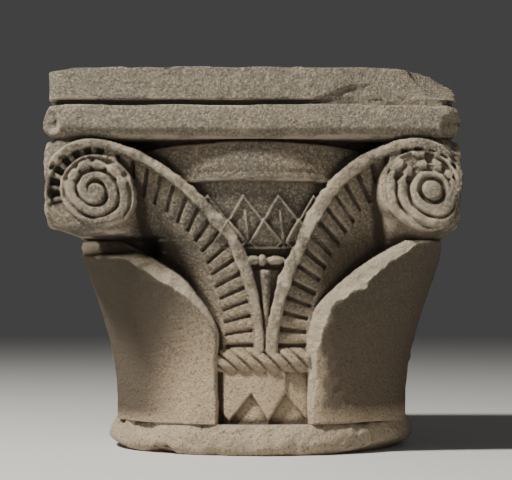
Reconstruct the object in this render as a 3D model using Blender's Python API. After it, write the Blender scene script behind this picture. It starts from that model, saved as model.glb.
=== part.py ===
"""A carved stone column capital: a moulded square abacus over a round bell, four smooth corner
leaves, and on each face two notched ribbons that rise from a twisted band into corner volutes.

The stone is one solid. It is worked the way a mason works the block: each of the four faces is
cut back to its own depth map, the four meet along the arrises of the corners, and the breaks
are struck off last. Metres, +Z up, the origin under the middle of the block. The front face
looks towards -Y. On a face, u runs to the right, z up, and depth outwards from the axis.
"""

import math

import bmesh
import bpy
import numpy as np

# Abacus: a flat slab over a quirk and a heavy roll
ABACUS_WIDTH = 0.360
SLAB_SETBACK = 0.0040
SLAB_HEIGHT = 0.0285
QUIRK_HEIGHT = 0.0045
QUIRK_DEPTH = 0.0065
ROLL_HEIGHT = 0.0280
ROLL_TUCK_TOP = 0.0045
ROLL_TUCK_BOTTOM = 0.0100
ABACUS_CORNER_POWER = 30.0

# Bell and necking
BELL_HEIGHT = 0.2465
BELL_FOOT_RADIUS = 0.1270
BELL_TOP_RADIUS = 0.1600
BELL_FLARE = 2.1
NECKING_HEIGHT = 0.0270
NECKING_RADIUS = 0.1425
NECKING_ROUNDING = 0.0065
NECKING_TOP_ROUNDING = 0.0030

# Lip of the bell, an arched band under the roll
LIP_HEIGHT = 0.0345
LIP_PROUD = 0.0080
LIP_SWELL = 0.0020
LIP_GAP = 0.0008
LIP_ARCH = 0.0055
LIP_ARCH_REACH = 0.0900
LIP_EDGE = 0.0016

# Corner leaves: a shell with a slanted edge around an opening that widens upwards
LEAF_FOOT_HALF = 0.1390
LEAF_TIP_HALF = 0.1690
LEAF_TIP_DROP = 0.0415
LEAF_FLARE = 2.1
LEAF_FOOT_POWER = 2.1
LEAF_TIP_POWER = 6.6
LEAF_CORNER_GROWTH = 3.3
OPENING_FOOT_HALF = 0.0400
OPENING_TOP_HALF = 0.1240
OPENING_SPRING_RISE = 0.0580
OPENING_POWER = 2.5
LEAF_EDGE_WIDTH = 0.0115
LEAF_EDGE_DROP = 0.0085

# Volutes: a disc with a spiral groove, on a body that carries the corner
VOLUTE_INSET = 0.0426
VOLUTE_DROP = 0.0450
VOLUTE_TUCK = 0.0008
DISC_RADIUS = 0.0315
DISC_PROUD = 0.0065
RING_RADIUS = 0.0404
SPIRAL_PITCH = 0.0102
SPIRAL_START = 0.0280
SPIRAL_DEPTH = 0.0040
BOSS_RADIUS = 0.0050
CORNER_SLOPE = 0.6
UNDERSIDE_SLOPE = 1.9
INNER_SLOPE = 6.0

# Ribbons: a plain strip beside a band of crossbars, swept along a quarter superellipse
STRIP_HALF = 0.0045
STRIP_FOOT_OUT = 0.0050
STRIP_FOOT_DEPTH = 0.1395
STRIP_RISE = 1.10
BAND_WIDTH = 0.0270
BAND_STEP = 0.0036
BAND_SLOPE_FOOT = 0.16
BAND_SLOPE_TOP = 0.50
GROUND_SLOPE = 0.75
EVEN_BAR_PITCH = 0.0142
LEFT_BAR_PITCH = 0.0134
RIGHT_BAR_PITCH = 0.0150
BAR_RELIEF = 0.0036
BAR_SHARE = 0.68
RING_END_DEGREES = 140.0
RING_FADE_DEGREES = 55.0

# Twisted band that ties the ribbons, and the leaf tips that hang below it
ROPE_RISE = 0.0560
ROPE_HALF = 0.0115
ROPE_PROUD = 0.0125
ROPE_PITCH = 0.0128
ROPE_SLANT = 1.15
ROPE_GROOVE = 0.0030
TIP_RELIEF = 0.0048
TIP_HALF = 0.0150
TIP_SPREAD = 0.0345
TIP_POINT_RISE = 0.0030
TIP_LENGTH = 0.0235

# Bud between the ribbons: three pointed leaves, a collar and a stem
BUD_RELIEF = 0.0045
BUD_LEAF_HALF = 0.0165
BUD_LEAF_SLOPE = 0.68
BUD_GAP = 0.0117
BUD_FRONT_DROP = 0.0205
BUD_BACK_OUT = 0.0152
BUD_LENGTH = 0.0470
COLLAR_DROP = 0.0095
COLLAR_HALF = 0.0160
COLLAR_RISE = 0.0042
COLLAR_RELIEF = 0.0085
STEM_HALF = 0.0055
STEM_RELIEF = 0.0060

# The bell stands a little off the middle of the abacus, and the front is not quite even
BODY_LEAN = 0.0080
LEAN_TOP_DROP = 0.0085
LEAN_FULL_DROP = 0.0935
LEAN_FADE = 0.0250
FRONT_LEAN = 0.0035
EVEN_BOW = 1.80
LEFT_BOW = 1.88
RIGHT_BOW = 1.74
LEFT_DISC_SHIFT = -0.0028
RIGHT_DISC_SHIFT = 0.0048
LEFT_DISC_GROWTH = -0.0005
RIGHT_DISC_GROWTH = 0.0025
LEFT_EYE_SHIFT = 0.0002
RIGHT_EYE_SHIFT = 0.0125

# Break at the right end of the slab, and the flake off its front beside it
BREAK_START = 0.0480
BREAK_SLOPE_END = 0.22
BREAK_SLOPE_START = 8.20
BREAK_EASE = 2.00
FLAKE_DEPTH = 0.0050
FLAKE_START = 0.0500
FLAKE_RUN = 2.8
FLAKE_FADE = 0.0140
SIDE_FLAKE_END = 0.1000

# Fineness of the skin
ROWS = 210
COLUMNS = 116
WALL = 0.0032
TRIANGLES = 9400

STONE_COLOUR = (0.32, 0.28, 0.22, 1.0)
STONE_ROUGHNESS = 0.9

SLAB_WIDTH = ABACUS_WIDTH - 2.0 * SLAB_SETBACK
ROLL_BOTTOM = NECKING_HEIGHT + BELL_HEIGHT
ROLL_TOP = ROLL_BOTTOM + ROLL_HEIGHT
SLAB_BOTTOM = ROLL_TOP + QUIRK_HEIGHT
HEIGHT = SLAB_BOTTOM + SLAB_HEIGHT
LIP_TOP = ROLL_BOTTOM - LIP_GAP
LIP_BOTTOM = LIP_TOP - LIP_HEIGHT

# The volutes hang from the roll, just inside the edge of the abacus
VOLUTE_OUT = 0.5 * ABACUS_WIDTH - VOLUTE_INSET
VOLUTE_DEPTH = 0.5 * ABACUS_WIDTH - VOLUTE_TUCK
VOLUTE_HEIGHT = ROLL_BOTTOM - VOLUTE_DROP
RING_OUTER = RING_RADIUS + STRIP_HALF
LEAF_TIP_HEIGHT = VOLUTE_HEIGHT - LEAF_TIP_DROP
LEAN_TOP = ROLL_BOTTOM - LEAN_TOP_DROP
LEAN_FULL = ROLL_BOTTOM - LEAN_FULL_DROP

# The twisted band, the leaf tips and the opening are set out from the necking
ROPE_HEIGHT = NECKING_HEIGHT + ROPE_RISE
ROPE_TOP = ROPE_HEIGHT + ROPE_HALF
OPENING_SPRING = NECKING_HEIGHT + OPENING_SPRING_RISE
TIP_POINT = NECKING_HEIGHT + TIP_POINT_RISE
TIP_SHOULDER = TIP_POINT + TIP_LENGTH
RIBBON_WIDE = VOLUTE_OUT - STRIP_FOOT_OUT
RIBBON_TALL = VOLUTE_HEIGHT + RING_RADIUS - ROPE_TOP

# The bud hangs below the lip
BUD_BACK_APEX = LIP_BOTTOM - BUD_GAP
BUD_FRONT_APEX = BUD_BACK_APEX - BUD_FRONT_DROP
BUD_FOOT = BUD_BACK_APEX - BUD_LENGTH
COLLAR_HEIGHT = BUD_FOOT - COLLAR_DROP


def ramp(x, low, high):
    """0 at low, 1 at high, smooth in between; low may be above high."""
    t = np.clip((x - low) / (high - low), 0.0, 1.0)
    return t * t * (3.0 - 2.0 * t)


def raised(depth, level, mask):
    """The depth map with a piece at this level laid over it where the mask is 1."""
    return depth + mask * np.maximum(level - depth, 0.0)


def circle(radius, u):
    """Depth of a round section of this radius."""
    return np.sqrt(np.maximum(radius**2 - u**2, 0.0))


def rounded_square(half, power, u):
    """Depth of a square section whose corners are rounder the lower the power."""
    share = np.clip(np.abs(u) / half, 0.0, 1.0)
    return half * (1.0 - share**power) ** (1.0 / power)


def bell_radius(z):
    rise = np.clip((z - NECKING_HEIGHT) / (LIP_BOTTOM - NECKING_HEIGHT), 0.0, 1.0)
    return BELL_FOOT_RADIUS + (BELL_TOP_RADIUS - BELL_FOOT_RADIUS) * rise**BELL_FLARE


def with_lip(depth, u, z):
    """The arched band that rims the bell, just under the roll."""
    drop = LIP_ARCH * (u / LIP_ARCH_REACH) ** 2
    above = z + drop - LIP_BOTTOM
    mask = ramp(above, 0.0, LIP_EDGE) * ramp(above, LIP_HEIGHT, LIP_HEIGHT - LIP_EDGE)
    swell = np.sin(math.pi * np.clip(above / LIP_HEIGHT, 0.0, 1.0))
    return raised(depth, circle(BELL_TOP_RADIUS + LIP_PROUD + LIP_SWELL * swell, u), mask)


def pointed_leaf(u, z, middle, apex, foot, half):
    """Distance inside a pointed leaf, from its nearest edge; negative outside."""
    side = np.minimum(BUD_LEAF_SLOPE * (apex - z), half)
    side = np.minimum(side, 0.45 * half + 1.2 * (z - foot)) - np.abs(u - middle)
    return np.minimum(side / math.hypot(1.0, BUD_LEAF_SLOPE), z - foot)


def with_bud(depth, u, z):
    """Two pointed leaves behind, one in front, a two-lobed collar and a tapering stem."""
    back = depth
    ground = depth
    for middle in (-BUD_BACK_OUT, BUD_BACK_OUT):
        inside = pointed_leaf(u, z, middle, BUD_BACK_APEX, BUD_FOOT, BUD_LEAF_HALF)
        dish = 0.35 * BUD_RELIEF * ramp(inside, 0.0018, 0.0050)
        level = ground + 0.75 * BUD_RELIEF - dish
        back = raised(back, level, ramp(inside, -0.0010, 0.0008))
    inside = pointed_leaf(u, z, 0.0, BUD_FRONT_APEX, BUD_FOOT, BUD_LEAF_HALF)
    dish = 0.3 * BUD_RELIEF * ramp(inside, 0.0018, 0.0050)
    bud = raised(back, ground + 1.35 * BUD_RELIEF - dish, ramp(inside, -0.0010, 0.0008))

    lobe = np.abs(np.abs(u) - 0.5 * COLLAR_HALF) / (0.55 * COLLAR_HALF)
    bead = 1.0 - lobe**2 - ((z - COLLAR_HEIGHT) / COLLAR_RISE) ** 2
    collar = ground + COLLAR_RELIEF * np.sqrt(np.clip(bead, 0.0, 1.0))
    bud = raised(bud, collar, ramp(bead, -0.1, 0.1))

    width = STEM_HALF * np.clip((z - ROPE_HEIGHT) / (COLLAR_HEIGHT - ROPE_HEIGHT), 0.0, 1.0)
    stem = ground + STEM_RELIEF * np.sqrt(np.clip(1.0 - (u / (width + 1e-4)) ** 2, 0.0, 1.0))
    return raised(bud, stem, ramp(z, COLLAR_HEIGHT, COLLAR_HEIGHT - 0.004) * (z > ROPE_HEIGHT))


def with_leaf_tips(depth, u, z):
    """Three leaf tips that hang from the twisted band; the outer two are cut by the leaves."""
    ground = depth
    run = (TIP_SHOULDER - z) / (TIP_SHOULDER - TIP_POINT)
    for middle, half in ((0.0, TIP_HALF), (-TIP_SPREAD, 1.3 * TIP_HALF), (TIP_SPREAD, 1.3 * TIP_HALF)):
        side = half * np.clip(1.0 - np.maximum(run, -0.1), 0.0, 1.1) - np.abs(u - middle)
        mask = ramp(side, -0.0012, 0.0012) * (z < ROPE_HEIGHT)
        depth = raised(depth, ground + TIP_RELIEF, mask)
    return depth


def with_rope(depth, u, z, strands):
    """The twisted band across the foot of the ribbons."""
    across = (z - ROPE_HEIGHT) / ROPE_HALF
    swell = np.sqrt(np.clip(1.0 - across**2, 0.0, 1.0))
    radius = bell_radius(z) + ROPE_PROUD * swell
    if strands:
        turn = np.cos(2.0 * math.pi * (u + ROPE_SLANT * (z - ROPE_HEIGHT)) / ROPE_PITCH)
        radius = radius - ROPE_GROOVE * swell * (0.5 - 0.5 * turn) ** 4
    mask = ramp(np.abs(across), 1.0, 0.9) * ramp(np.abs(u), OPENING_FOOT_HALF + WALL, OPENING_FOOT_HALF)
    return raised(depth, circle(radius, u), mask)


def opening_half(z):
    """Half-width of the gap between two corner leaves, and its slope."""
    rise = np.clip((z - OPENING_SPRING) / (LEAF_TIP_HEIGHT - OPENING_SPRING), 0.0, 1.2)
    grow = OPENING_TOP_HALF - OPENING_FOOT_HALF
    slope = grow * OPENING_POWER * rise ** (OPENING_POWER - 1.0) / (LEAF_TIP_HEIGHT - OPENING_SPRING)
    return OPENING_FOOT_HALF + grow * rise**OPENING_POWER, slope


def with_leaves(depth, u, z, lean):
    """The smooth leaves that wrap the corners up to the volutes."""
    rise = np.clip((z - NECKING_HEIGHT) / (LEAF_TIP_HEIGHT - NECKING_HEIGHT), 0.0, 1.1)
    half = LEAF_FOOT_HALF + (LEAF_TIP_HALF - LEAF_FOOT_HALF) * rise**LEAF_FLARE
    power = LEAF_FOOT_POWER + (LEAF_TIP_POWER - LEAF_FOOT_POWER) * rise**LEAF_CORNER_GROWTH
    surface = rounded_square(half, power, u)
    gap, slope = opening_half(z)
    inside = (np.abs(u - 0.3 * lean) - gap) / np.sqrt(1.0 + slope**2)
    surface = surface - LEAF_EDGE_DROP * ramp(inside, LEAF_EDGE_WIDTH, 0.0)
    mask = ramp(inside, -WALL, 0.0) * ramp(z, LEAF_TIP_HEIGHT + WALL, LEAF_TIP_HEIGHT)
    return raised(depth, surface, mask * (z > NECKING_HEIGHT))


def ribbon_course(out, z, bow):
    """Distance inside the strip's middle line, the length along it, and its share of the rise."""
    x = np.clip((VOLUTE_OUT - out) / RIBBON_WIDE, 1e-6, None)
    y = np.clip((z - ROPE_TOP) / RIBBON_TALL, 1e-6, None)
    size = (x**bow + y**bow) ** (1.0 / bow)
    fall_x = (x / size) ** (bow - 1.0) / RIBBON_WIDE
    fall_y = (y / size) ** (bow - 1.0) / RIBBON_TALL
    inside = (1.0 - size) / np.sqrt(fall_x**2 + fall_y**2)
    angle = np.arctan2(y, x)
    around = np.hypot(out - VOLUTE_OUT, z - VOLUTE_HEIGHT)
    beyond = out > VOLUTE_OUT
    inside = np.where(beyond, RING_RADIUS - around, inside)
    angle = np.where(beyond, 0.5 * math.pi, angle)
    steps = np.linspace(0.0, 0.5 * math.pi, 200)
    reach = (np.cos(steps) ** bow + np.sin(steps) ** bow) ** (-1.0 / bow)
    line_x = RIBBON_WIDE * reach * np.cos(steps)
    line_y = RIBBON_TALL * reach * np.sin(steps)
    lengths = np.concatenate([[0.0], np.cumsum(np.hypot(np.diff(line_x), np.diff(line_y)))])
    return inside, np.interp(angle, steps, lengths), angle / (0.5 * math.pi)


def with_ribbon(depth, u, z, side, lean, bow, pitch, bars):
    """One ribbon: a strip along its edge, and a band of crossbars that slopes back from it."""
    out = side * (u - lean * ramp(z, VOLUTE_HEIGHT, LEAN_FULL))
    inside, along, rise = ribbon_course(out, z, bow)
    level = STRIP_FOOT_DEPTH + (VOLUTE_DEPTH - STRIP_FOOT_DEPTH) * rise**STRIP_RISE
    turn = np.degrees(np.arctan2(out - VOLUTE_OUT, z - VOLUTE_HEIGHT))
    shown = ramp(z, ROPE_TOP - 0.006, ROPE_TOP - 0.003)
    ringed = ramp(turn, RING_END_DEGREES, RING_END_DEGREES - RING_FADE_DEGREES)
    shown = shown * np.where(out > VOLUTE_OUT, ringed, 1.0)

    across = inside - STRIP_HALF
    slope = BAND_SLOPE_FOOT + BAND_SLOPE_TOP * np.sin(0.5 * math.pi * rise)
    ground = GROUND_SLOPE * np.clip(across - BAND_WIDTH, 0.0, None)
    band = level - BAND_STEP - slope * np.clip(across, 0.0, BAND_WIDTH) - ground
    if bars:
        share = (along / pitch) % 1.0
        bar = ramp(share, 0.0, 0.12) * ramp(share, BAR_SHARE + 0.12, BAR_SHARE)
        cut = ramp(across, 0.001, 0.003) * ramp(across, BAND_WIDTH - 0.001, BAND_WIDTH - 0.003)
        band = band - BAR_RELIEF * (1.0 - bar) * cut
    on_band = ramp(across, -0.001, 0.0) * (out < VOLUTE_OUT)
    depth = raised(depth, band, on_band * shown)
    return raised(depth, level, ramp(np.abs(inside), STRIP_HALF + 0.0012, STRIP_HALF - 0.0008) * shown)


def with_volute(depth, u, z, side, shift, growth, eye):
    """The body of a corner volute and its disc, with a groove that winds in to a boss."""
    out = side * u - VOLUTE_OUT
    up = z - VOLUTE_HEIGHT
    radius = np.hypot(out, up)
    turn = np.degrees(np.arctan2(out, up))
    ringed = ramp(turn, -45.0, -15.0) * ramp(turn, RING_END_DEGREES + 20.0, RING_END_DEGREES - 20.0)
    edge = DISC_RADIUS + (RING_OUTER - DISC_RADIUS) * ringed
    low = ramp(np.abs(turn), 100.0, 150.0)
    outward = ramp(turn, -20.0, 20.0)
    steep = CORNER_SLOPE * outward + INNER_SLOPE * (1.0 - outward)
    steep = steep + (UNDERSIDE_SLOPE - steep) * low
    body = VOLUTE_DEPTH - DISC_PROUD - steep * np.maximum(radius - edge, 0.0)
    depth = np.maximum(depth, body)

    disc = DISC_RADIUS + growth
    radius = np.hypot(out - shift, up)
    winding = np.hypot(out - eye, up)
    turn = np.degrees(np.arctan2(out - eye, up))
    spiral = winding - SPIRAL_START + SPIRAL_PITCH * (turn % 360.0) / 360.0
    groove = (0.5 + 0.5 * np.cos(2.0 * math.pi * spiral / SPIRAL_PITCH)) ** 1.8
    groove = groove * ramp(winding, BOSS_RADIUS, BOSS_RADIUS + 0.002)
    groove = groove * ramp(radius, disc, disc - 0.003)
    face = VOLUTE_DEPTH - SPIRAL_DEPTH * groove
    return raised(depth, face, ramp(radius, disc + 0.0012, disc - 0.0012))


def bell_depth(u, z, face):
    """Depth map of everything between the necking and the roll."""
    lean = face["lean"]
    depth = circle(bell_radius(z), u)
    depth = with_lip(depth, u, z)
    if face["bud"]:
        depth = with_bud(depth, u - lean, z)
    depth = with_leaf_tips(depth, u - 1.7 * lean, z)
    depth = with_leaves(depth, u, z, lean)
    for side, name in ((-1, "left"), (1, "right")):
        depth = with_volute(depth, u, z, side, *face[name + "_disc"])
        depth = with_ribbon(depth, u, z, side, lean, face[name + "_bow"], face[name + "_pitch"], face["bars"])
    return with_rope(depth, u - 0.3 * lean, z, face["strands"])


def necking_depth(u, z):
    middle = 0.5 * NECKING_HEIGHT
    share = np.clip(np.abs(z - middle) / middle, 0.0, 1.0)
    rounding = np.where(z > middle, NECKING_TOP_ROUNDING, NECKING_ROUNDING)
    return circle(NECKING_RADIUS - rounding * share**3.0, u)


def flaked_share(u, z, flake):
    """How far the front of the slab is flaked off at the broken corner, from 0 to 1."""
    if flake == "front":
        return ramp(u - FLAKE_START - FLAKE_RUN * (z - SLAB_BOTTOM), 0.0, FLAKE_FADE)
    if flake == "side":
        return ramp(-u, SIDE_FLAKE_END, SIDE_FLAKE_END + 3.0 * FLAKE_FADE)
    return np.zeros_like(u)


def abacus_depth(u, z, flake):
    """Slab, quirk and roll, square in plan with a small rounding at the corners."""
    flaked = flaked_share(u, z, flake)
    slab = 0.5 * SLAB_WIDTH - FLAKE_DEPTH * flaked * (flake == "front")
    quirk = 0.5 * SLAB_WIDTH - QUIRK_DEPTH + (QUIRK_DEPTH - FLAKE_DEPTH) * flaked
    half = np.where(z < SLAB_BOTTOM, quirk, slab)
    widest = ROLL_BOTTOM + 0.3 * ROLL_HEIGHT
    over = np.clip((z - widest) / (ROLL_TOP - widest), 0.0, 1.0)
    under = np.clip((widest - z) / (widest - ROLL_BOTTOM), 0.0, 1.0)
    roll = 0.5 * ABACUS_WIDTH - ROLL_TUCK_TOP * over**3.0 - ROLL_TUCK_BOTTOM * under**2.5
    half = np.where(z < ROLL_TOP, roll, half)
    return rounded_square(half, ABACUS_CORNER_POWER, u)


def face_depth(u, z, face):
    depth = bell_depth(u, z, face)
    depth = np.where(z <= NECKING_HEIGHT, necking_depth(u, z), depth)
    return np.where(z >= ROLL_BOTTOM, abacus_depth(u, z, face["flake"]), depth)


def row_heights():
    """Even rows, with a pair of rows at each sharp ledge."""
    rows = np.linspace(0.0, HEIGHT, ROWS)
    ledges = np.array([NECKING_HEIGHT, ROLL_BOTTOM, ROLL_TOP, SLAB_BOTTOM])
    pairs = np.concatenate([ledges - 0.0003, ledges + 0.0003])
    clear = np.abs(rows[:, None] - ledges[None, :]).min(axis=1) > 0.0008
    return np.sort(np.concatenate([rows[clear], pairs]))


def corner_reach(faces, rows):
    """How far out each corner's arris stands, row by row: where a face's depth equals its u."""
    scan = np.linspace(0.25 * ABACUS_WIDTH, 0.51 * ABACUS_WIDTH, 500)
    u, z = np.meshgrid(scan, rows)

    def reach(face, side):
        room = face_depth(side * u, z, face) - u
        last = (room > 0.0)[:, ::-1].argmax(axis=1)
        i = np.clip(len(scan) - 1 - last, 0, len(scan) - 2)
        row = np.arange(len(rows))
        here, after = room[row, i], room[row, i + 1]
        part = np.clip(here / np.maximum(here - after, 1e-9), 0.0, 1.0)
        return scan[i] + part * (scan[1] - scan[0])

    count = len(faces)
    return [
        np.minimum(reach(faces[k], 1), reach(faces[(k + 1) % count], -1))
        for k in range(count)
    ]


def face_points(face, rows, left, right):
    """The grid of one face, from the arris on its left to the one on its right."""
    share = np.linspace(-1.0, 1.0, COLUMNS + 1)
    u = np.where(share < 0.0, share * left[:, None], share * right[:, None])
    z = np.repeat(rows[:, None], COLUMNS + 1, axis=1)
    depth = face_depth(u, z, face)
    depth[:, 0] = left
    depth[:, -1] = right
    return np.stack([u, -depth, z], axis=-1)


def quarter_turned(points, turns):
    """Points turned about the axis by quarter turns, anticlockwise from above."""
    x, y, z = points[..., 0], points[..., 1], points[..., 2]
    for _ in range(turns):
        x, y = -y, x
    return np.stack([x, y, z], axis=-1)


def leaned(points):
    """The bell set off to the right of the abacus; the outer faces of the volutes stay."""
    x, z = points[..., 0], points[..., 2]
    edge = 0.5 * ABACUS_WIDTH
    share = ramp(z, LEAN_TOP, LEAN_FULL) * ramp(np.abs(x), edge, edge - LEAN_FADE)
    points[..., 0] = x + BODY_LEAN * share
    return points


def carved_block(faces):
    """One closed skin: the four faces side by side, and a flat cap above and below."""
    rows = row_heights()
    reach = corner_reach(faces, rows)
    around = [
        quarter_turned(face_points(face, rows, reach[k - 1], reach[k]), k)[:, :-1]
        for k, face in enumerate(faces)
    ]
    rings = leaned(np.concatenate(around, axis=1))
    skin = bmesh.new()
    grid = [[skin.verts.new(point) for point in ring] for ring in rings]
    count = len(grid[0])
    for low, high in zip(grid, grid[1:]):
        for i in range(count):
            j = (i + 1) % count
            skin.faces.new((low[i], low[j], high[j], high[i]))
    for ring, x, z, up in ((grid[0], BODY_LEAN, 0.0, False), (grid[-1], 0.0, HEIGHT, True)):
        hub = skin.verts.new((x, 0.0, z))
        for i in range(count):
            pair = (ring[i], ring[(i + 1) % count])
            skin.faces.new((*pair, hub) if up else (*pair[::-1], hub))
    bmesh.ops.recalc_face_normals(skin, faces=skin.faces)
    return skin


def new_object(name, skin, material=None):
    mesh = bpy.data.meshes.new(name)
    skin.to_mesh(mesh)
    skin.free()
    obj = bpy.data.objects.new(name, mesh)
    bpy.context.scene.collection.objects.link(obj)
    if material:
        mesh.materials.append(material)
    return obj


def break_height(x, y):
    """Height of the broken bed: it rises from the foot of the slab's front towards the back."""
    face = 0.5 * SLAB_WIDTH
    t = min(max((x - BREAK_START) / (face - BREAK_START), 0.0), 1.0)
    slope = BREAK_SLOPE_END + BREAK_SLOPE_START * (1.0 - t) ** BREAK_EASE
    front = -face - 0.015 * (1.0 - t) ** 5
    wave = 0.0010 * math.sin(95.0 * x + 30.0 * y) + 0.0007 * math.sin(160.0 * y - 60.0 * x)
    return min(SLAB_BOTTOM + 0.0015 + slope * (y - front) + wave, HEIGHT + 0.004)


def slab_break():
    """A cutter whose uneven underside is the broken bed at the right front corner of the slab."""
    half = 0.5 * ABACUS_WIDTH
    margin = 0.02
    columns = [BREAK_START + (half + margin - BREAK_START) * i / 10 for i in range(11)]
    rows = [-half - margin] + [-0.5 * SLAB_WIDTH + 2.0 * half * (j / 12) ** 1.6 for j in range(13)]
    skin = bmesh.new()
    under = [[skin.verts.new((x, y, break_height(x, y))) for x in columns] for y in rows]
    top = [[skin.verts.new((v.co.x, v.co.y, HEIGHT + margin)) for v in row] for row in under]
    for low, high in zip(under, under[1:]):
        for i in range(len(columns) - 1):
            skin.faces.new((low[i], high[i], high[i + 1]))
            skin.faces.new((low[i], high[i + 1], low[i + 1]))
    for low, high in zip(top, top[1:]):
        for i in range(len(columns) - 1):
            skin.faces.new((low[i], low[i + 1], high[i + 1], high[i]))
    rim = [under[0], [r[-1] for r in under], under[-1], [r[0] for r in under]]
    lid = [top[0], [r[-1] for r in top], top[-1], [r[0] for r in top]]
    for low, high in zip(rim, lid):
        for i in range(len(low) - 1):
            skin.faces.new((low[i], low[i + 1], high[i + 1], high[i]))
    bmesh.ops.recalc_face_normals(skin, faces=skin.faces)
    cutter = new_object("slab_break", skin)
    cutter.hide_render = True
    cutter.display_type = "WIRE"
    return cutter


def stone_material():
    material = bpy.data.materials.new("sandstone")
    material.use_nodes = True
    shader = material.node_tree.nodes["Principled BSDF"]
    shader.inputs["Base Color"].default_value = STONE_COLOUR
    shader.inputs["Roughness"].default_value = STONE_ROUGHNESS
    shader.inputs["Metallic"].default_value = 0.0
    return material


def main():
    for obj in list(bpy.data.objects):
        bpy.data.objects.remove(obj)
    even = (0.0, 0.0, 0.0)
    side = dict(lean=0.0, left_bow=EVEN_BOW, right_bow=EVEN_BOW, left_disc=even, right_disc=even)
    side.update(left_pitch=EVEN_BAR_PITCH, right_pitch=EVEN_BAR_PITCH)
    side.update(bars=True, bud=False, strands=True, flake=None)
    front = dict(side, lean=FRONT_LEAN, left_bow=LEFT_BOW, right_bow=RIGHT_BOW, bud=True)
    front.update(left_pitch=LEFT_BAR_PITCH, right_pitch=RIGHT_BAR_PITCH, flake="front")
    front["left_disc"] = (LEFT_DISC_SHIFT, LEFT_DISC_GROWTH, LEFT_EYE_SHIFT)
    front["right_disc"] = (RIGHT_DISC_SHIFT, RIGHT_DISC_GROWTH, RIGHT_EYE_SHIFT)
    right = dict(side, flake="side")
    back = dict(side, bars=False, strands=False)
    capital = new_object("capital", carved_block([front, right, back, side]), stone_material())
    triangles = 2 * len(capital.data.polygons)
    thin = capital.modifiers.new("facets", "DECIMATE")
    thin.ratio = TRIANGLES / triangles
    thin.use_collapse_triangulate = True
    struck = capital.modifiers.new("break", "BOOLEAN")
    struck.operation = "DIFFERENCE"
    struck.solver = "EXACT"
    struck.object = slab_break()


main()
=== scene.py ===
# %% [markdown]
# # A weathered stone capital
# This is the head of a column, carved from one block of grey-brown sandstone: a moulded square
# abacus, a round bell, four smooth corner leaves, and on each face two notched ribbons that rise
# from a twisted band into corner volutes.
# The solids give the form. Here the same stone gets its finer relief, its wear and its colour.
# A mason cuts each face of such a block to a drawn depth, so the mesh is made that way too: a depth
# map for each face, joined at the corners. Sculpting by hand would look alike, but could not be
# changed by a number later.

import math

import bmesh
import bpy
import numpy as np
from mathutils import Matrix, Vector


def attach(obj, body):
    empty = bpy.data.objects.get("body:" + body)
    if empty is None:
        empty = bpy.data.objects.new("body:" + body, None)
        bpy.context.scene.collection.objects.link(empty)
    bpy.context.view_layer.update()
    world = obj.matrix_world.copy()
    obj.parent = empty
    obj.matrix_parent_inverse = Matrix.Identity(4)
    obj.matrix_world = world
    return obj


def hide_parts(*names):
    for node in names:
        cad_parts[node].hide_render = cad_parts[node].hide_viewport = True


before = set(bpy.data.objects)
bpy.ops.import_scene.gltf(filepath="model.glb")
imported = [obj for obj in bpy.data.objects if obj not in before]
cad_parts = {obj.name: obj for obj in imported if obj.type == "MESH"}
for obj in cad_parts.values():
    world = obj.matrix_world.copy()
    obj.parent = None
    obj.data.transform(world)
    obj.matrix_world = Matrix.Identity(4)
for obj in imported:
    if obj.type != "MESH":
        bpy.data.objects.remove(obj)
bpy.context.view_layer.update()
print("solids:", sorted(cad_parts))

# %% [markdown]
# ## The sizes of the block
# Every size is in metres and has a name, and most were read off the photograph by perspective.
# The main ones are the sizes of the solid, so the finer mesh lands on it; a few, such as the
# width of a strip, are set a little finer here.

# %% Sizes of abacus, bell and foot
ABACUS_WIDTH = 0.360
SLAB_SETBACK = 0.0040
SLAB_HEIGHT = 0.0285
QUIRK_HEIGHT = 0.0045
QUIRK_DEPTH = 0.0065
ROLL_HEIGHT = 0.0280
ROLL_TUCK_TOP = 0.0045
ROLL_TUCK_BOTTOM = 0.0100
ABACUS_CORNER_POWER = 30.0

BELL_HEIGHT = 0.2465
BELL_FOOT_RADIUS = 0.1270
BELL_TOP_RADIUS = 0.1600
BELL_FLARE = 2.1
NECKING_HEIGHT = 0.0270
NECKING_RADIUS = 0.1425
NECKING_ROUNDING = 0.0065
NECKING_TOP_ROUNDING = 0.0030
BODY_LEAN = 0.0080

SLAB_WIDTH = ABACUS_WIDTH - 2.0 * SLAB_SETBACK
ROLL_BOTTOM = NECKING_HEIGHT + BELL_HEIGHT
ROLL_TOP = ROLL_BOTTOM + ROLL_HEIGHT
SLAB_BOTTOM = ROLL_TOP + QUIRK_HEIGHT
HEIGHT = SLAB_BOTTOM + SLAB_HEIGHT
LEAN_TOP = ROLL_BOTTOM - 0.0085
LEAN_FULL = ROLL_BOTTOM - 0.0935
print("height of the block: %.1f mm" % (1000.0 * HEIGHT))

# %% [markdown]
# ## Small tools for depth maps
# On a face, u runs to the right, z up, and depth outwards from the middle of the block. A form is
# laid over what is behind it with a soft mask, so no wall is steeper than the mesh can follow.

# %% Tools for depth maps


def ramp(x, low, high):
    """0 at low, 1 at high, smooth in between; low may be above high."""
    t = np.clip((x - low) / (high - low), 0.0, 1.0)
    return t * t * (3.0 - 2.0 * t)


def raised(depth, level, mask):
    """The depth map with a piece at this level laid over it where the mask is 1."""
    return depth + mask * np.maximum(level - depth, 0.0)


def circle(radius, u):
    """Depth of a round section of this radius, and 0 beside it."""
    return np.sqrt(np.maximum(radius**2 - u**2, 0.0))


def rounded_square(half, power, u):
    """Depth of a square section whose corners are rounder the lower the power."""
    share = np.clip(np.abs(u) / half, 0.0, 1.0)
    return half * (1.0 - share**power) ** (1.0 / power)


def by_table(x, table):
    """A size that changes along x, from pairs of a place and the size there."""
    places, sizes = zip(*table)
    return np.interp(x, places, sizes)


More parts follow.
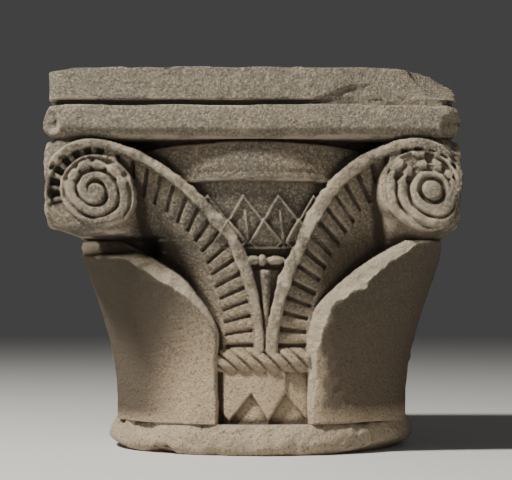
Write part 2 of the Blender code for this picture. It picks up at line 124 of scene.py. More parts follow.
print("a ramp is %.2f half-way" % ramp(0.5, 0.0, 1.0))

# %% [markdown]
# ## Unevenness
# A chisel and eight hundred years leave nothing straight. A table of random numbers, smoothly
# blended from cell to cell, gives lumps of any size. The seed fixes the table, so each run gives
# the same stone.

# %% Seeded lumps
TABLE_SIDE = 32
lump_tables = {}


def lumps(points, size, seed):
    """Smooth random values from -1 to 1, in lumps about this size across."""
    if seed not in lump_tables:
        lump_tables[seed] = np.random.default_rng(seed).uniform(-1.0, 1.0, (TABLE_SIDE,) * 3)
    table = lump_tables[seed]
    place = points / size
    cell = np.floor(place).astype(int)
    part = place - cell
    part = part * part * (3.0 - 2.0 * part)
    total = np.zeros(points.shape[:-1])
    for corner in np.ndindex(2, 2, 2):
        share = np.ones(points.shape[:-1])
        for axis, end in enumerate(corner):
            share = share * (part[..., axis] if end else 1.0 - part[..., axis])
        i, j, k = ((cell[..., axis] + corner[axis]) % TABLE_SIDE for axis in range(3))
        total += share * table[i, j, k]
    return total


def face_lumps(u, z, size, seed, face):
    """The same on one face's depth map."""
    third = np.full_like(u, 0.37 * face["seed"])
    return lumps(np.stack([u + 2.0, z + 2.0, third], axis=-1), size, seed)


print("lump tables: %d cells a side" % TABLE_SIDE)

# %% [markdown]
# ## Bell and lip
# The bell is a round, flaring core. Under the roll it ends in a flat band, the lip, which is
# cut as a low arch between the volutes. A profile turned about the axis would be enough for the
# core, but the arch is not round, so both are given as depths.

# %% Bell and lip
LIP_HEIGHT = 0.0345
LIP_PROUD = 0.0080
LIP_GAP = 0.0008
LIP_ARCH = 0.0055
LIP_ARCH_REACH = 0.0900
LIP_EDGE = 0.0012
LIP_BEVEL = 0.0035
LIP_CUT_BACK = 0.0014
LIP_TOP = ROLL_BOTTOM - LIP_GAP
LIP_BOTTOM = LIP_TOP - LIP_HEIGHT


def bell_radius(z):
    """Radius of the bell, flaring towards its top."""
    rise = np.clip((z - NECKING_HEIGHT) / (LIP_BOTTOM - NECKING_HEIGHT), 0.0, 1.0)
    return BELL_FOOT_RADIUS + (BELL_TOP_RADIUS - BELL_FOOT_RADIUS) * rise**BELL_FLARE


def with_lip(depth, u, z, face):
    """The flat band under the roll, its lower edge a low arch."""
    drop = LIP_ARCH * (u / LIP_ARCH_REACH) ** 2
    above = z + drop - LIP_BOTTOM + 0.0008 * face_lumps(u, z, 0.022, 11, face)
    mask = ramp(above, 0.0, LIP_EDGE) * ramp(above, LIP_HEIGHT, LIP_HEIGHT - LIP_EDGE)
    bevel = np.clip(1.0 - (LIP_HEIGHT - above) / LIP_BEVEL, 0.0, 1.0)
    cut_back = LIP_CUT_BACK * ramp(above, 0.32 * LIP_HEIGHT, 0.22 * LIP_HEIGHT)
    radius = BELL_TOP_RADIUS + LIP_PROUD - 0.8 * LIP_BEVEL * bevel - cut_back
    return raised(depth, circle(radius, u), mask)


print("lip from z %.3f to %.3f m" % (LIP_BOTTOM, LIP_TOP))

# %% [markdown]
# ## Corner leaves
# Each corner of the bell is wrapped by one broad, smooth leaf. The front shows the gap between
# two of them, an opening that is narrow at the foot and swings out under the volutes. The rim of
# each leaf is broken back to a slant. On the front the width of that slant follows the
# photograph, place by place, and its outer line is jagged.

# %% Corner leaves
LEAF_FOOT_HALF = 0.1390
LEAF_TIP_HALF = 0.1690
LEAF_TIP_HEIGHT = 0.1870
LEAF_FLARE = 2.1
LEAF_FOOT_POWER = 2.1
LEAF_TIP_POWER = 6.6
LEAF_CORNER_GROWTH = 3.3
OPENING_FOOT_HALF = 0.0400
OPENING_TOP_HALF = 0.1240
OPENING_SPRING = 0.0850
OPENING_POWER = 2.5
SLANT = 0.75
PATINA = 0.0005
WALL = 0.0012
LEFT_RIM = (
    (0.085, 0.0), (0.106, 0.0028), (0.138, 0.0), (0.158, 0.0025), (0.168, 0.0), (0.187, 0.0),
)
RIGHT_RIM = (
    (0.060, 0.0), (0.090, 0.0020), (0.112, 0.0015), (0.128, 0.0040), (0.145, 0.0), (0.187, 0.0),
)
EVEN_RIM = ((0.0, 0.0), (1.0, 0.0))
EVEN_EDGE = ((0.030, 0.0060), (0.090, 0.0080), (0.150, 0.0115), (0.185, 0.0115))
LEFT_EDGE = (
    (0.030, 0.0022), (0.097, 0.0030), (0.116, 0.0045), (0.138, 0.0085),
    (0.148, 0.0125), (0.157, 0.0150), (0.168, 0.0145), (0.180, 0.0100),
)
RIGHT_EDGE = (
    (0.030, 0.0035), (0.058, 0.0060), (0.075, 0.0085), (0.086, 0.0105), (0.112, 0.0110),
    (0.122, 0.0130), (0.136, 0.0125), (0.146, 0.0165), (0.156, 0.0125), (0.178, 0.0090),
)


def opening_half(z):
    """Half-width of the gap between two corner leaves, and its slope."""
    tall = LEAF_TIP_HEIGHT - OPENING_SPRING
    rise = np.clip((z - OPENING_SPRING) / tall, 0.0, 1.2)
    grow = OPENING_TOP_HALF - OPENING_FOOT_HALF
    slope = grow * OPENING_POWER * rise ** (OPENING_POWER - 1.0) / tall
    return OPENING_FOOT_HALF + grow * rise**OPENING_POWER, slope


def leaf_edge(u, z, face):
    """Distance inside the leaf's rim, and the width of the broken slant there."""
    gap, slope = opening_half(z)
    gap = gap - np.where(u < 0.0, by_table(z, face["left_rim"]), by_table(z, face["right_rim"]))
    inside = (np.abs(u - 0.3 * face["lean"]) - gap) / np.sqrt(1.0 + slope**2)
    inside = inside + 0.0006 * face_lumps(u, z, 0.014, 21, face)
    width = np.where(u < 0.0, by_table(z, face["left_edge"]), by_table(z, face["right_edge"]))
    jag = face_lumps(u, z, 0.010, 22, face) + 0.7 * face_lumps(u, z, 0.0045, 23, face)
    return inside, width * (1.0 + 0.20 * jag * np.where(u < 0.0, 0.6, 1.0))


def with_leaves(depth, u, z, face):
    """The two corner leaves of a face, with their broken rims."""
    rise = np.clip((z - NECKING_HEIGHT) / (LEAF_TIP_HEIGHT - NECKING_HEIGHT), 0.0, 1.1)
    half = LEAF_FOOT_HALF + (LEAF_TIP_HALF - LEAF_FOOT_HALF) * rise**LEAF_FLARE
    power = LEAF_FOOT_POWER + (LEAF_TIP_POWER - LEAF_FOOT_POWER) * rise**LEAF_CORNER_GROWTH
    surface = rounded_square(half, power, u) + 0.0005 * face_lumps(u, z, 0.035, 24, face)
    inside, width = leaf_edge(u, z, face)
    slant = SLANT * np.clip(width - inside, 0.0, None)
    slant = slant + PATINA * ramp(inside, width, width - 0.0010)
    rough = 0.0005 * face_lumps(u, z, 0.005, 25, face) * ramp(inside, width, width - 0.002)
    mask = ramp(inside, -WALL, 0.0) * ramp(z, LEAF_TIP_HEIGHT + WALL, LEAF_TIP_HEIGHT)
    return raised(depth, surface - slant + rough, mask * (z > NECKING_HEIGHT))


print("opening: %.0f mm wide at the foot" % (2000.0 * OPENING_FOOT_HALF))

# %% [markdown]
# ## Volutes
# A volute is the rolled end of a ribbon: a round disc on each side of the corner, cut with a
# groove that winds in to a boss. The groove is fine below and opens into deep pits above. Around
# the disc lies a ring whose floor is notched with short bars. The winding is one formula in the
# angle and the distance, not a curve that is swept, because the groove then keeps its width
# however the disc is resized.

# %% Volutes
VOLUTE_OUT = 0.1374
VOLUTE_HEIGHT = 0.2285
VOLUTE_DEPTH = 0.1792
DISC_RADIUS = 0.0315
DISC_PROUD = 0.0065
RING_RADIUS = 0.0404
RING_END_DEGREES = 140.0
RING_FADE_DEGREES = 55.0
RING_NOTCH_DEGREES = 18.0
RING_NOTCH_DEPTH = 0.0060
SPIRAL_PITCH = 0.0102
SPIRAL_START = 0.0280
SPIRAL_DEPTH = 0.0048
GROOVE_HALF = 0.0013
BOSS_RADIUS = 0.0050
CORNER_SLOPE = 0.6
UNDERSIDE_SLOPE = 1.9
INNER_SLOPE = 6.0
STRIP_HALF = 0.0043
RING_OUTER = RING_RADIUS + STRIP_HALF


def hand(side):
    """The name of a face's left or right half."""
    return "left" if side < 0 else "right"


def with_volute(depth, u, z, side, face):
    """The rolled end of a ribbon: its round body, then the disc with the wound groove."""
    shift, growth, eye = face[hand(side) + "_disc"]
    out = side * u - VOLUTE_OUT
    up = z - VOLUTE_HEIGHT
    radius = np.hypot(out, up) + 0.0006 * face_lumps(u, z, 0.012, 31, face)
    turn = np.degrees(np.arctan2(out, up))
    ringed = ramp(turn, -45.0, -15.0) * ramp(turn, RING_END_DEGREES + 20.0, RING_END_DEGREES - 20.0)
    edge = DISC_RADIUS + (RING_OUTER - DISC_RADIUS) * ringed
    low = ramp(np.abs(turn), 100.0, 150.0)
    outward = ramp(turn, -20.0, 20.0)
    steep = CORNER_SLOPE * outward + INNER_SLOPE * (1.0 - outward)
    steep = steep + (UNDERSIDE_SLOPE - steep) * low
    body = VOLUTE_DEPTH - DISC_PROUD - steep * np.maximum(radius - edge, 0.0)
    rough = 0.0010 * face_lumps(u, z, 0.014, 33, face) + 0.0007 * face_lumps(u, z, 0.006, 40, face)
    body = body + (rough - 0.0006) * face["wear"]
    depth = np.maximum(depth, body)

    disc = DISC_RADIUS + growth
    radius = np.hypot(out - shift, up) + 0.0007 * face_lumps(u, z, 0.010, 34, face)
    winding = np.hypot(out - eye, up) + 0.0006 * face_lumps(u, z, 0.008, 35, face)
    turn = np.degrees(np.arctan2(out - eye, up))
    coil = (winding - SPIRAL_START + SPIRAL_PITCH * (turn % 360.0) / 360.0) / SPIRAL_PITCH
    away = np.abs(coil - np.round(coil)) * SPIRAL_PITCH
    high = ramp(np.cos(np.radians(turn)), 0.0, 0.9)
    broken = face_lumps(u, z, 0.0065, 32, face)
    pit = ramp(np.cos(np.radians(11.0 * turn)) + 1.1 * broken, -0.2, 0.7)
    pit = pit * ramp(winding, 0.0170, 0.0200)
    half = GROOVE_HALF * (1.0 + 0.35 * broken)
    half = half + 0.0034 * high * face["wear"] * (0.15 + 0.85 * pit)
    groove = ramp(away, half + 0.0008, half - 0.0008)
    if face["broken"] and side > 0:
        around = ramp(np.abs(winding - 0.0105), 0.0026, 0.0012)
        groove = np.maximum(groove * ramp(winding, 0.0155, 0.0175), around)
    groove = groove * (1.0 + 0.9 * face["wear"] * high * pit)
    groove = groove * ramp(winding, BOSS_RADIUS, BOSS_RADIUS + 0.002)
    groove = groove * ramp(radius, disc, disc - 0.003)
    worn = 0.0015 * face_lumps(u, z, 0.009, 36, face) + 0.0008 * face_lumps(u, z, 0.0045, 39, face)
    worn = worn - 0.0010
    front = VOLUTE_DEPTH + worn * face["wear"] - face["spiral"] * SPIRAL_DEPTH * groove
    front = front - 0.0020 * ramp(radius, disc - 0.005, disc + 0.001)
    return raised(depth, front, ramp(radius, disc + 0.0010, disc - 0.0006))


def ring_notches(depth, u, z, side, face):
    """Short bars between the disc and the strip around it, with deep gaps."""
    out = side * u - VOLUTE_OUT
    up = z - VOLUTE_HEIGHT
    radius = np.hypot(out, up) + 0.0006 * face_lumps(u, z, 0.007, 37, face)
    turn = np.degrees(np.arctan2(out, up)) + 2.5 * face_lumps(u, z, 0.015, 38, face)
    share = (turn / RING_NOTCH_DEGREES + 0.2) % 1.0
    notch = ramp(np.abs(share - 0.5), 0.36, 0.16)
    notch = notch * ramp(turn, -30.0, -14.0) * ramp(turn, 118.0, 100.0)
    outer = RING_RADIUS - 0.0036 + 0.0045 * ramp(turn, 20.0, 70.0)
    shift, growth, _ = face[hand(side) + "_disc"]
    from_disc = np.hypot(out - shift, up) - DISC_RADIUS - growth
    notch = notch * ramp(from_disc, 0.0000, 0.0012) * ramp(radius, outer + 0.0010, outer - 0.0006)
    notch = notch * ramp(np.abs(u), 0.1745, 0.1720)
    return depth - RING_NOTCH_DEPTH * notch


print("volute discs: %.0f mm across" % (2000.0 * DISC_RADIUS))

# %% [markdown]
# ## Ribbons
# A ribbon is a plain raised strip with a band of crossbars beside it. Seen from the front it
# follows a quarter of a superellipse, from the twisted band up and out to the top of the volute.
# A curve object with a bevel could make the strip, but not the band that leans back
# into the stone, so every point is given its distance from the strip and its length along it.

# %% Ribbons
STRIP_FOOT_OUT = 0.0050
STRIP_FOOT_DEPTH = 0.1395
STRIP_RISE = 1.10
BAND_WIDTH = 0.0270
BAND_STEP = 0.0044
BAND_SLOPE_FOOT = 0.16
BAND_SLOPE_TOP = 0.50
GROUND_SLOPE = 0.80
BAR_RELIEF = 0.0040
BAR_SHARE = 0.74
ROPE_HEIGHT = 0.0830
ROPE_HALF = 0.0115
ROPE_TOP = ROPE_HEIGHT + ROPE_HALF
RIBBON_WIDE = VOLUTE_OUT - STRIP_FOOT_OUT
RIBBON_TALL = VOLUTE_HEIGHT + RING_RADIUS - ROPE_TOP


def ribbon_course(out, z, bow):
    """Distance inside the strip's middle line, the length along it, and its share of the rise."""
    x = np.clip((VOLUTE_OUT - out) / RIBBON_WIDE, 1e-6, None)
    y = np.clip((z - ROPE_TOP) / RIBBON_TALL, 1e-6, None)
    size = (x**bow + y**bow) ** (1.0 / bow)
    fall_x = (x / size) ** (bow - 1.0) / RIBBON_WIDE
    fall_y = (y / size) ** (bow - 1.0) / RIBBON_TALL
    inside = (1.0 - size) / np.sqrt(fall_x**2 + fall_y**2)
    angle = np.arctan2(y, x)
    around = np.hypot(out - VOLUTE_OUT, z - VOLUTE_HEIGHT)
    beyond = out > VOLUTE_OUT
    inside = np.where(beyond, RING_RADIUS - around, inside)
    angle = np.where(beyond, 0.5 * math.pi, angle)
    steps = np.linspace(0.0, 0.5 * math.pi, 200)
    reach = (np.cos(steps) ** bow + np.sin(steps) ** bow) ** (-1.0 / bow)
    line_x = RIBBON_WIDE * reach * np.cos(steps)
    line_y = RIBBON_TALL * reach * np.sin(steps)
    lengths = np.concatenate([[0.0], np.cumsum(np.hypot(np.diff(line_x), np.diff(line_y)))])
    return inside, np.interp(angle, steps, lengths), angle / (0.5 * math.pi)


def strip_wear(u, z, rise, side, face):
    """Half-width of the strip, and how much of its top is knocked off."""
    half = STRIP_HALF * by_table(rise, face[hand(side) + "_strip"])
    ragged = face_lumps(u, z, 0.011, 43, face) + 0.7 * face_lumps(u, z, 0.0045, 44, face)
    worst = by_table(rise, ((0.0, 0.3), (0.25, 1.0), (0.6, 1.0), (0.75, 0.3), (1.0, 0.2)))
    half = half * (1.0 + 0.26 * ragged * worst * face["wear"])
    knocked = 0.0020 * worst * face["wear"] * ramp(face_lumps(u, z, 0.013, 45, face), -0.2, 0.6)
    knocked = knocked + 0.0007 * face["wear"] * face_lumps(u, z, 0.0050, 47, face)
    return half, knocked


def with_ribbon(depth, u, z, side, face):
    """One ribbon: the band with its crossbars, then the raised strip along it."""
    name = hand(side)
    out = side * (u - face["lean"] * ramp(z, VOLUTE_HEIGHT, LEAN_FULL))
    inside, along, rise = ribbon_course(out, z, face[name + "_bow"])
    level = STRIP_FOOT_DEPTH + (VOLUTE_DEPTH - STRIP_FOOT_DEPTH) * rise**STRIP_RISE
    turn = np.degrees(np.arctan2(out - VOLUTE_OUT, z - VOLUTE_HEIGHT))
    shown = ramp(z, ROPE_TOP - 0.006, ROPE_TOP - 0.003)
    ringed = ramp(turn, RING_END_DEGREES, RING_END_DEGREES - RING_FADE_DEGREES)
    shown = shown * np.where(out > VOLUTE_OUT, ringed, 1.0)

    across = inside - STRIP_HALF
    slope = BAND_SLOPE_FOOT + BAND_SLOPE_TOP * np.sin(0.5 * math.pi * rise)
    ground = GROUND_SLOPE * np.clip(across - BAND_WIDTH, 0.0, None)
    band = level - BAND_STEP - slope * np.clip(across, 0.0, BAND_WIDTH) - ground
    if face["bars"]:
        wander = 0.0012 * face_lumps(u, z, 0.020, 41, face)
        share = ((along + wander) / face[name + "_pitch"] - face[name + "_phase"]) % 1.0
        wide = BAR_SHARE + 0.06 * face_lumps(u, z, 0.016, 46, face)
        bar = ramp(share, 0.0, 0.10) * ramp(share, wide + 0.10, wide)
        end = 0.0012 * face_lumps(u, z, 0.010, 42, face)
        cut = ramp(across + end, BAND_WIDTH - 0.001, BAND_WIDTH - 0.003)
        cut = cut * ramp(across, 0.0006, 0.0020)
        uneven = 1.0 + 0.35 * face_lumps(u, z, 0.011, 48, face)
        band = band - BAR_RELIEF * uneven * (1.0 - bar) * cut
        band = band - 0.0007 * (2.0 * share / BAR_SHARE - 1.0) ** 2 * bar * cut
    on_band = ramp(across, -0.001, 0.0)
    depth = raised(depth, band, on_band * shown * (out < VOLUTE_OUT))
    half, knocked = strip_wear(u, z, rise, side, face)
    lip = ramp(np.abs(inside), half + 0.0008, half - 0.0006)
    crown = 0.0006 * np.clip(np.abs(inside) / half, 0.0, 1.0) ** 2
    return raised(depth, level - crown - knocked, lip * shown)


print("ribbons: %.0f mm wide with their bars" % (1000.0 * (2.0 * STRIP_HALF + BAND_WIDTH)))

# %% [markdown]
# ## Twisted band and leaf tips
# The foot of the ribbons is tied by a band like a short rope. A slanting wave across a rounded
# bar gives its strands. Three pointed leaf tips hang below it on the panel between the leaves.

# %% Twisted band and leaf tips
ROPE_PROUD = 0.0125
ROPE_PITCH = 0.0128
ROPE_SLANT = 1.05
ROPE_GROOVE = 0.0044
TIP_RELIEF = 0.0056
TIP_HALF = 0.0142
TIP_SPREAD = 0.0345
TIP_SHOULDER = 0.0535
TIP_POINT = 0.0300
LEAF_TIPS = ((-TIP_SPREAD, 1.38, 0.95), (TIP_SPREAD, 1.38, 0.6), (0.0, 1.0, 1.0))
CHANNEL_WIDTH = 0.0065
CHANNEL_DEPTH = 0.0045


def with_rope(depth, u, z, face):
    """The twisted band: a rounded bar with slanting grooves."""
    uneven = 1.0 + 0.06 * face_lumps(u, z, 0.014, 53, face)
    across = (z - ROPE_HEIGHT) / (ROPE_HALF * uneven)
    swell = np.sqrt(np.clip(1.0 - across**2, 0.0, 1.0))
    radius = bell_radius(z) + ROPE_PROUD * swell
    if face["strands"]:
        bent = u + ROPE_SLANT * (z - ROPE_HEIGHT) + 0.0015 * face_lumps(u, z, 0.022, 51, face)
        share = (bent / ROPE_PITCH + 0.35) % 1.0
        away = np.minimum(share, 1.0 - share) * ROPE_PITCH
        radius = radius - ROPE_GROOVE * swell * ramp(away, 0.0028, 0.0004)
        radius = radius - 0.0014 * swell * share
    mask = ramp(np.abs(across), 1.0, 0.94)
    mask = mask * ramp(np.abs(u), OPENING_FOOT_HALF + WALL, OPENING_FOOT_HALF)
    return raised(depth, circle(radius, u), mask)


def with_leaf_tips(depth, u, z, face):
    """Three points hanging on the panel, each with its middle, width and relief."""
    ground = depth
    run = (TIP_SHOULDER - z) / (TIP_SHOULDER - TIP_POINT)
    for middle, half, lift in LEAF_TIPS:
        side = half * TIP_HALF * np.clip(1.0 - np.maximum(run, -0.1), 0.0, 1.1) - np.abs(u - middle)
        side = side + 0.0005 * face_lumps(u, z, 0.009, 52, face)
        mask = ramp(side, -0.0006, 0.0008) * (z < ROPE_HEIGHT)
        depth = raised(depth, ground + lift * TIP_RELIEF, mask)
    return depth


def with_channel(depth, u, z):
    """The sunk line between the left leaf and the panel."""
    inside = OPENING_FOOT_HALF + u
    sunk = ramp(inside, 0.0, 0.0008) * ramp(inside, CHANNEL_WIDTH, CHANNEL_WIDTH - 0.0010)
    return depth - CHANNEL_DEPTH * sunk * ramp(z, ROPE_HEIGHT + 0.004, ROPE_HEIGHT - 0.008)


print("twisted band at z %.3f m" % ROPE_HEIGHT)

# %% [markdown]
# ## Bud
# Between the ribbons of the front stands a bud: two rows of pointed leaves that overlap like
# tiles, a collar of beads, and a stem that narrows down to the twisted band. Each leaf has a
# raised rim, from the distance to its nearest edge, and leans in towards its foot.

# %% Bud
BUD_LEAF_HALF = 0.0165
BUD_LEAF_SLOPE = 0.68
BUD_BACK_APEX = 0.2265
BUD_FRONT_APEX = 0.2060
BUD_BACK_OUT = 0.0152
BUD_FOOT = 0.1795
COLLAR_HEIGHT = 0.1700
COLLAR_RISE = 0.0044
COLLAR_RELIEF = 0.0085
COLLAR_BEADS = ((-0.0115, 0.0070, 0.95), (-0.0030, 0.0045, 1.2), (0.0085, 0.0085, 0.9))
STEM_HALF = 0.0058
STEM_RELIEF = 0.0060


def pointed_leaf(u, z, middle, apex):
    """Distance inside a pointed leaf, from its nearest edge; negative outside."""
    side = np.minimum(BUD_LEAF_SLOPE * (apex - z), BUD_LEAF_HALF)
    side = np.minimum(side, 0.45 * BUD_LEAF_HALF + 1.2 * (z - BUD_FOOT)) - np.abs(u - middle)
    return np.minimum(side / math.hypot(1.0, BUD_LEAF_SLOPE), z - BUD_FOOT)


def with_bud(depth, u, z, face):
    """The bud from the back row of leaves to the front, its collar and its stem."""
    u = u + 0.0006 * face_lumps(u, z, 0.012, 73, face)
    ground = depth
    bud = ground
    rows = [(k * BUD_BACK_OUT, BUD_BACK_APEX, 0.0062) for k in (-3, 3, -1, 1)]
    rows += [(k * BUD_BACK_OUT, BUD_FRONT_APEX, 0.0112) for k in (-2, 2, 0)]
    for middle, apex, lift in rows:
        inside = pointed_leaf(u, z, middle, apex)
        lean = 0.35 + 0.65 * ramp(z, BUD_FOOT, apex - 0.010)
        dish = 0.0038 * ramp(inside, 0.0010, 0.0034) - 0.0018 * ramp(inside, 0.0034, 0.0085)
        rib = 0.0020 * ramp(np.abs(u - middle), 0.0016, 0.0003)
        rib = rib * ramp(z, apex - 0.010, apex - 0.018) * (apex > BUD_FRONT_APEX)
        worn = 0.0007 * face_lumps(u, z, 0.006, 76, face)
        level = ground + lift * lean - dish + worn + rib
        mask = ramp(inside, -0.0005, 0.0005)
        bud = bud + mask * (level - bud)
    below = ramp(z, BUD_FOOT + 0.001, BUD_FOOT - 0.001) * ramp(z, ROPE_TOP, ROPE_TOP + 0.03)
    bud = bud - 0.0030 * below

    for middle, half, rise in COLLAR_BEADS:
        bead = 1.0 - ((u - middle) / half) ** 2 - ((z - COLLAR_HEIGHT) / (rise * COLLAR_RISE)) ** 2
        knob = ground + COLLAR_RELIEF * np.sqrt(np.clip(bead, 0.0, 1.0))
        knob = knob + 0.0016 * face_lumps(u, z, 0.005, 74, face)
        bud = raised(bud, knob, ramp(bead, -0.1, 0.1))

    width = STEM_HALF * np.clip((z - ROPE_HEIGHT) / (COLLAR_HEIGHT - ROPE_HEIGHT), 0.0, 1.0)
    stem = ground + STEM_RELIEF * np.sqrt(np.clip(1.0 - (u / (width + 1e-4)) ** 2, 0.0, 1.0))
    shown = ramp(z, COLLAR_HEIGHT - 0.006, COLLAR_HEIGHT - 0.009) * (z > ROPE_HEIGHT)
    return raised(bud, stem, shown)


print("bud from z %.3f to %.3f m" % (BUD_FOOT, BUD_BACK_APEX))

# %% [markdown]
# ## Foot ring and abacus
# The foot is a rounded ring, knocked all round. How high the stone is lost above the bed is
# given place by place round the axis, in degrees from the front. The abacus is a flat slab, a
# narrow sunk line and a heavy roll. Its slab is struck off at the right of the front, and both
# ends of its roll are broken.

# %% Foot ring and abacus
FOOT_LOSS = (
    (-180, 0.003), (-150, 0.001), (-120, 0.004), (-95, 0.007), (-84, 0.010), (-74, 0.006),
    (-64, 0.002), (-46, 0.001), (-41, 0.0085), (-36, 0.0085), (-31, 0.001), (-10, 0.0005),
    (22, 0.001), (32, 0.003), (42, 0.006), (48, 0.009), (54, 0.0135), (58, 0.0110), (66, 0.0105),
    (76, 0.0115), (88, 0.0120), (100, 0.004), (125, 0.001), (155, 0.004), (180, 0.003),
)
FOOT_RAGGED = ((-90, 0.002), (-60, 0.004), (-15, 0.003), (0, 0.002), (25, 0.002), (60, 0.0))
BREAK_START = 0.0480
BREAK_SLOPE_END = 0.22
BREAK_SLOPE_START = 8.20
BREAK_EASE = 2.00
BREAK_SWEEP = 0.015
FLAKE_DEPTH = 0.0035
FLAKE_START = 0.0500
FLAKE_RUN = 2.8
FLAKE_FADE = 0.0140
SIDE_FLAKE_END = 0.1000
ROLL_PITS = (
    (-0.173, 0.2875, 0.8, 0.0095, 0.0050, 0.006),
    (0.171, 0.2815, 0.9, 0.0130, 0.0060, 0.007),
)


def necking_depth(u, z, face):
    """The foot ring, with the stone that is lost from its edges."""
    middle = 0.5 * NECKING_HEIGHT
    share = np.clip(np.abs(z - middle) / middle, 0.0, 1.0)
    angle = np.degrees(np.arcsin(np.clip(u / NECKING_RADIUS, -1.0, 1.0))) + 90.0 * face["quarter"]
    angle = (angle + 180.0) % 360.0 - 180.0
    lost = by_table(angle, FOOT_LOSS) * (1.0 + 0.25 * face_lumps(u, 0.0 * z, 0.007, 65, face))
    under = 0.0125 * np.clip(1.0 - z / lost, 0.0, 1.0) ** 0.8 * ramp(lost, 0.0008, 0.004)
    wander = 0.0014 * face_lumps(u, z, 0.026, 61, face) + 0.0014 * face_lumps(u, z, 0.010, 62, face)
    wander = wander - 0.0010 + 0.0007 * face_lumps(u, z, 0.0045, 66, face)
    rounding = np.where(z > middle, NECKING_TOP_ROUNDING, NECKING_ROUNDING) * share**3.0
    ragged = by_table(angle, FOOT_RAGGED)
    ragged = ragged * np.clip(0.5 + 1.2 * face_lumps(u, z, 0.013, 77, face), 0.0, 1.2)
    ragged = ragged * ramp(z, 0.45 * NECKING_HEIGHT, 0.85 * NECKING_HEIGHT)
    radius = NECKING_RADIUS - rounding + wander - under - ragged
    return circle(radius, u)


def break_lines(x):
    """The slope of the broken bed at this x, and the y where it meets the slab's lower edge."""
    t = np.clip((x - BREAK_START) / (0.5 * SLAB_WIDTH - BREAK_START), 0.0, 1.0)
    slope = BREAK_SLOPE_END + BREAK_SLOPE_START * (1.0 - t) ** BREAK_EASE
    return slope, -0.5 * SLAB_WIDTH - BREAK_SWEEP * (1.0 - t) ** 5


def flaked_share(u, z, face):
    """How far the front of the slab is flaked off at the broken corner, from 0 to 1."""
    if face["flake"] == "front":
        ragged = 0.0050 * face_lumps(u, z, 0.009, 69, face)
        return ramp(u - FLAKE_START - FLAKE_RUN * (z - SLAB_BOTTOM) + ragged, 0.0, FLAKE_FADE)
    if face["flake"] == "side":
        return ramp(-u, SIDE_FLAKE_END, SIDE_FLAKE_END + 3.0 * FLAKE_FADE)
    return np.zeros_like(u)


def abacus_depth(u, z, face):
    """The roll, the sunk line and the slab, with the broken ends and the flaked front."""
    line = 0.0006 * face_lumps(u, 0.0 * z, 0.045, 63, face)
    z = z + line * ramp(z, ROLL_BOTTOM, ROLL_BOTTOM + 0.006) * ramp(z, HEIGHT, HEIGHT - 0.006)
    flaked = flaked_share(u, z, face)
    rough = 0.0016 * face_lumps(u, z, 0.013, 70, face) + 0.0010 * face_lumps(u, z, 0.005, 79, face)
    slab = 0.5 * SLAB_WIDTH - (FLAKE_DEPTH + rough) * flaked * (face["flake"] == "front")
    if face["flake"] == "front":
        slab = slab + 0.0022 * ramp(u, 0.150, 0.172)
        slope, foot = break_lines(u)
        bed = -foot - (z - SLAB_BOTTOM - 0.0005 - 0.5 * rough) / slope
        slab = np.where(u > BREAK_START, np.minimum(slab, np.maximum(bed, 0.12)), slab)
    quirk = 0.5 * SLAB_WIDTH - QUIRK_DEPTH + (QUIRK_DEPTH - FLAKE_DEPTH) * flaked
    sunk = ramp(z, ROLL_TOP, ROLL_TOP + 0.0004) * ramp(z, SLAB_BOTTOM + 0.0004, SLAB_BOTTOM)
    half = slab + sunk * (np.minimum(quirk, slab) - slab)
    widest = ROLL_BOTTOM + 0.35 * ROLL_HEIGHT
    over = np.clip((z - widest) / (ROLL_TOP - widest), 0.0, 1.0)
    under = np.clip((widest - z) / (widest - ROLL_BOTTOM), 0.0, 1.0)
    roll = 0.5 * ABACUS_WIDTH - ROLL_TUCK_TOP * over**2.2 - ROLL_TUCK_BOTTOM * under**2.0
    if face["broken"]:
        pits = 0.0
        for middle, level, squash, wide, core, deep in ROLL_PITS:
            pits = pits + deep * ramp(np.hypot(u - middle, squash * (z - level)), wide, core)
        roll = roll - pits * (1.0 + 0.5 * face_lumps(u, z, 0.004, 67, face))
    half = np.where(z < ROLL_TOP, roll, half)
    rough = 0.0006 * face_lumps(u, z, 0.040, 64, face) + 0.0004 * face_lumps(u, z, 0.012, 68, face)
    rough = (rough - 0.0004) * ramp(np.abs(u), 0.178, 0.165)
    return rounded_square(half, ABACUS_CORNER_POWER, u) + rough


print("foot ring %.0f mm across" % (2000.0 * NECKING_RADIUS))

# %% [markdown]
# ## One face
# The forms are laid on each other from the back to the front. The front has all of them. The
# sides and the back, which the photograph does not show, have the same main forms
# and are plainer: no bud, and no bars at the back.

# %% One face
SIDE_FACE = dict(
    quarter=1, seed=2, lean=0.0, left_bow=1.80, right_bow=1.80, left_pitch=0.0142,
    right_pitch=0.0142, left_phase=0.2, right_phase=0.2, left_disc=(0.0, 0.0, 0.0),
    right_disc=(0.0, 0.0, 0.0), left_edge=EVEN_EDGE, right_edge=EVEN_EDGE,
    left_rim=EVEN_RIM, right_rim=EVEN_RIM,
    left_strip=((0.0, 1.0), (1.0, 1.0)), right_strip=((0.0, 1.0), (1.0, 1.0)),
    bars=True, bud=False, strands=True, broken=False, flake=None, spiral=0.85, wear=0.5,
)
FRONT_FACE = dict(
    SIDE_FACE, quarter=0, seed=1, lean=0.0035, left_bow=1.88, right_bow=1.74,
    left_pitch=0.0134, right_pitch=0.0150, left_disc=(-0.0028, -0.0005, 0.0002),
    right_disc=(0.0048, 0.0025, 0.0125), left_edge=LEFT_EDGE, right_edge=RIGHT_EDGE,
    left_rim=LEFT_RIM, right_rim=RIGHT_RIM,
    left_strip=((0.0, 0.85), (0.45, 1.25), (0.75, 1.05), (1.0, 0.90)),
    right_strip=((0.0, 1.15), (0.45, 1.35), (0.75, 1.30), (1.0, 1.05)),
    bud=True, broken=True, flake="front", spiral=1.0, wear=1.0,
)
RIGHT_FACE = dict(SIDE_FACE, flake="side")
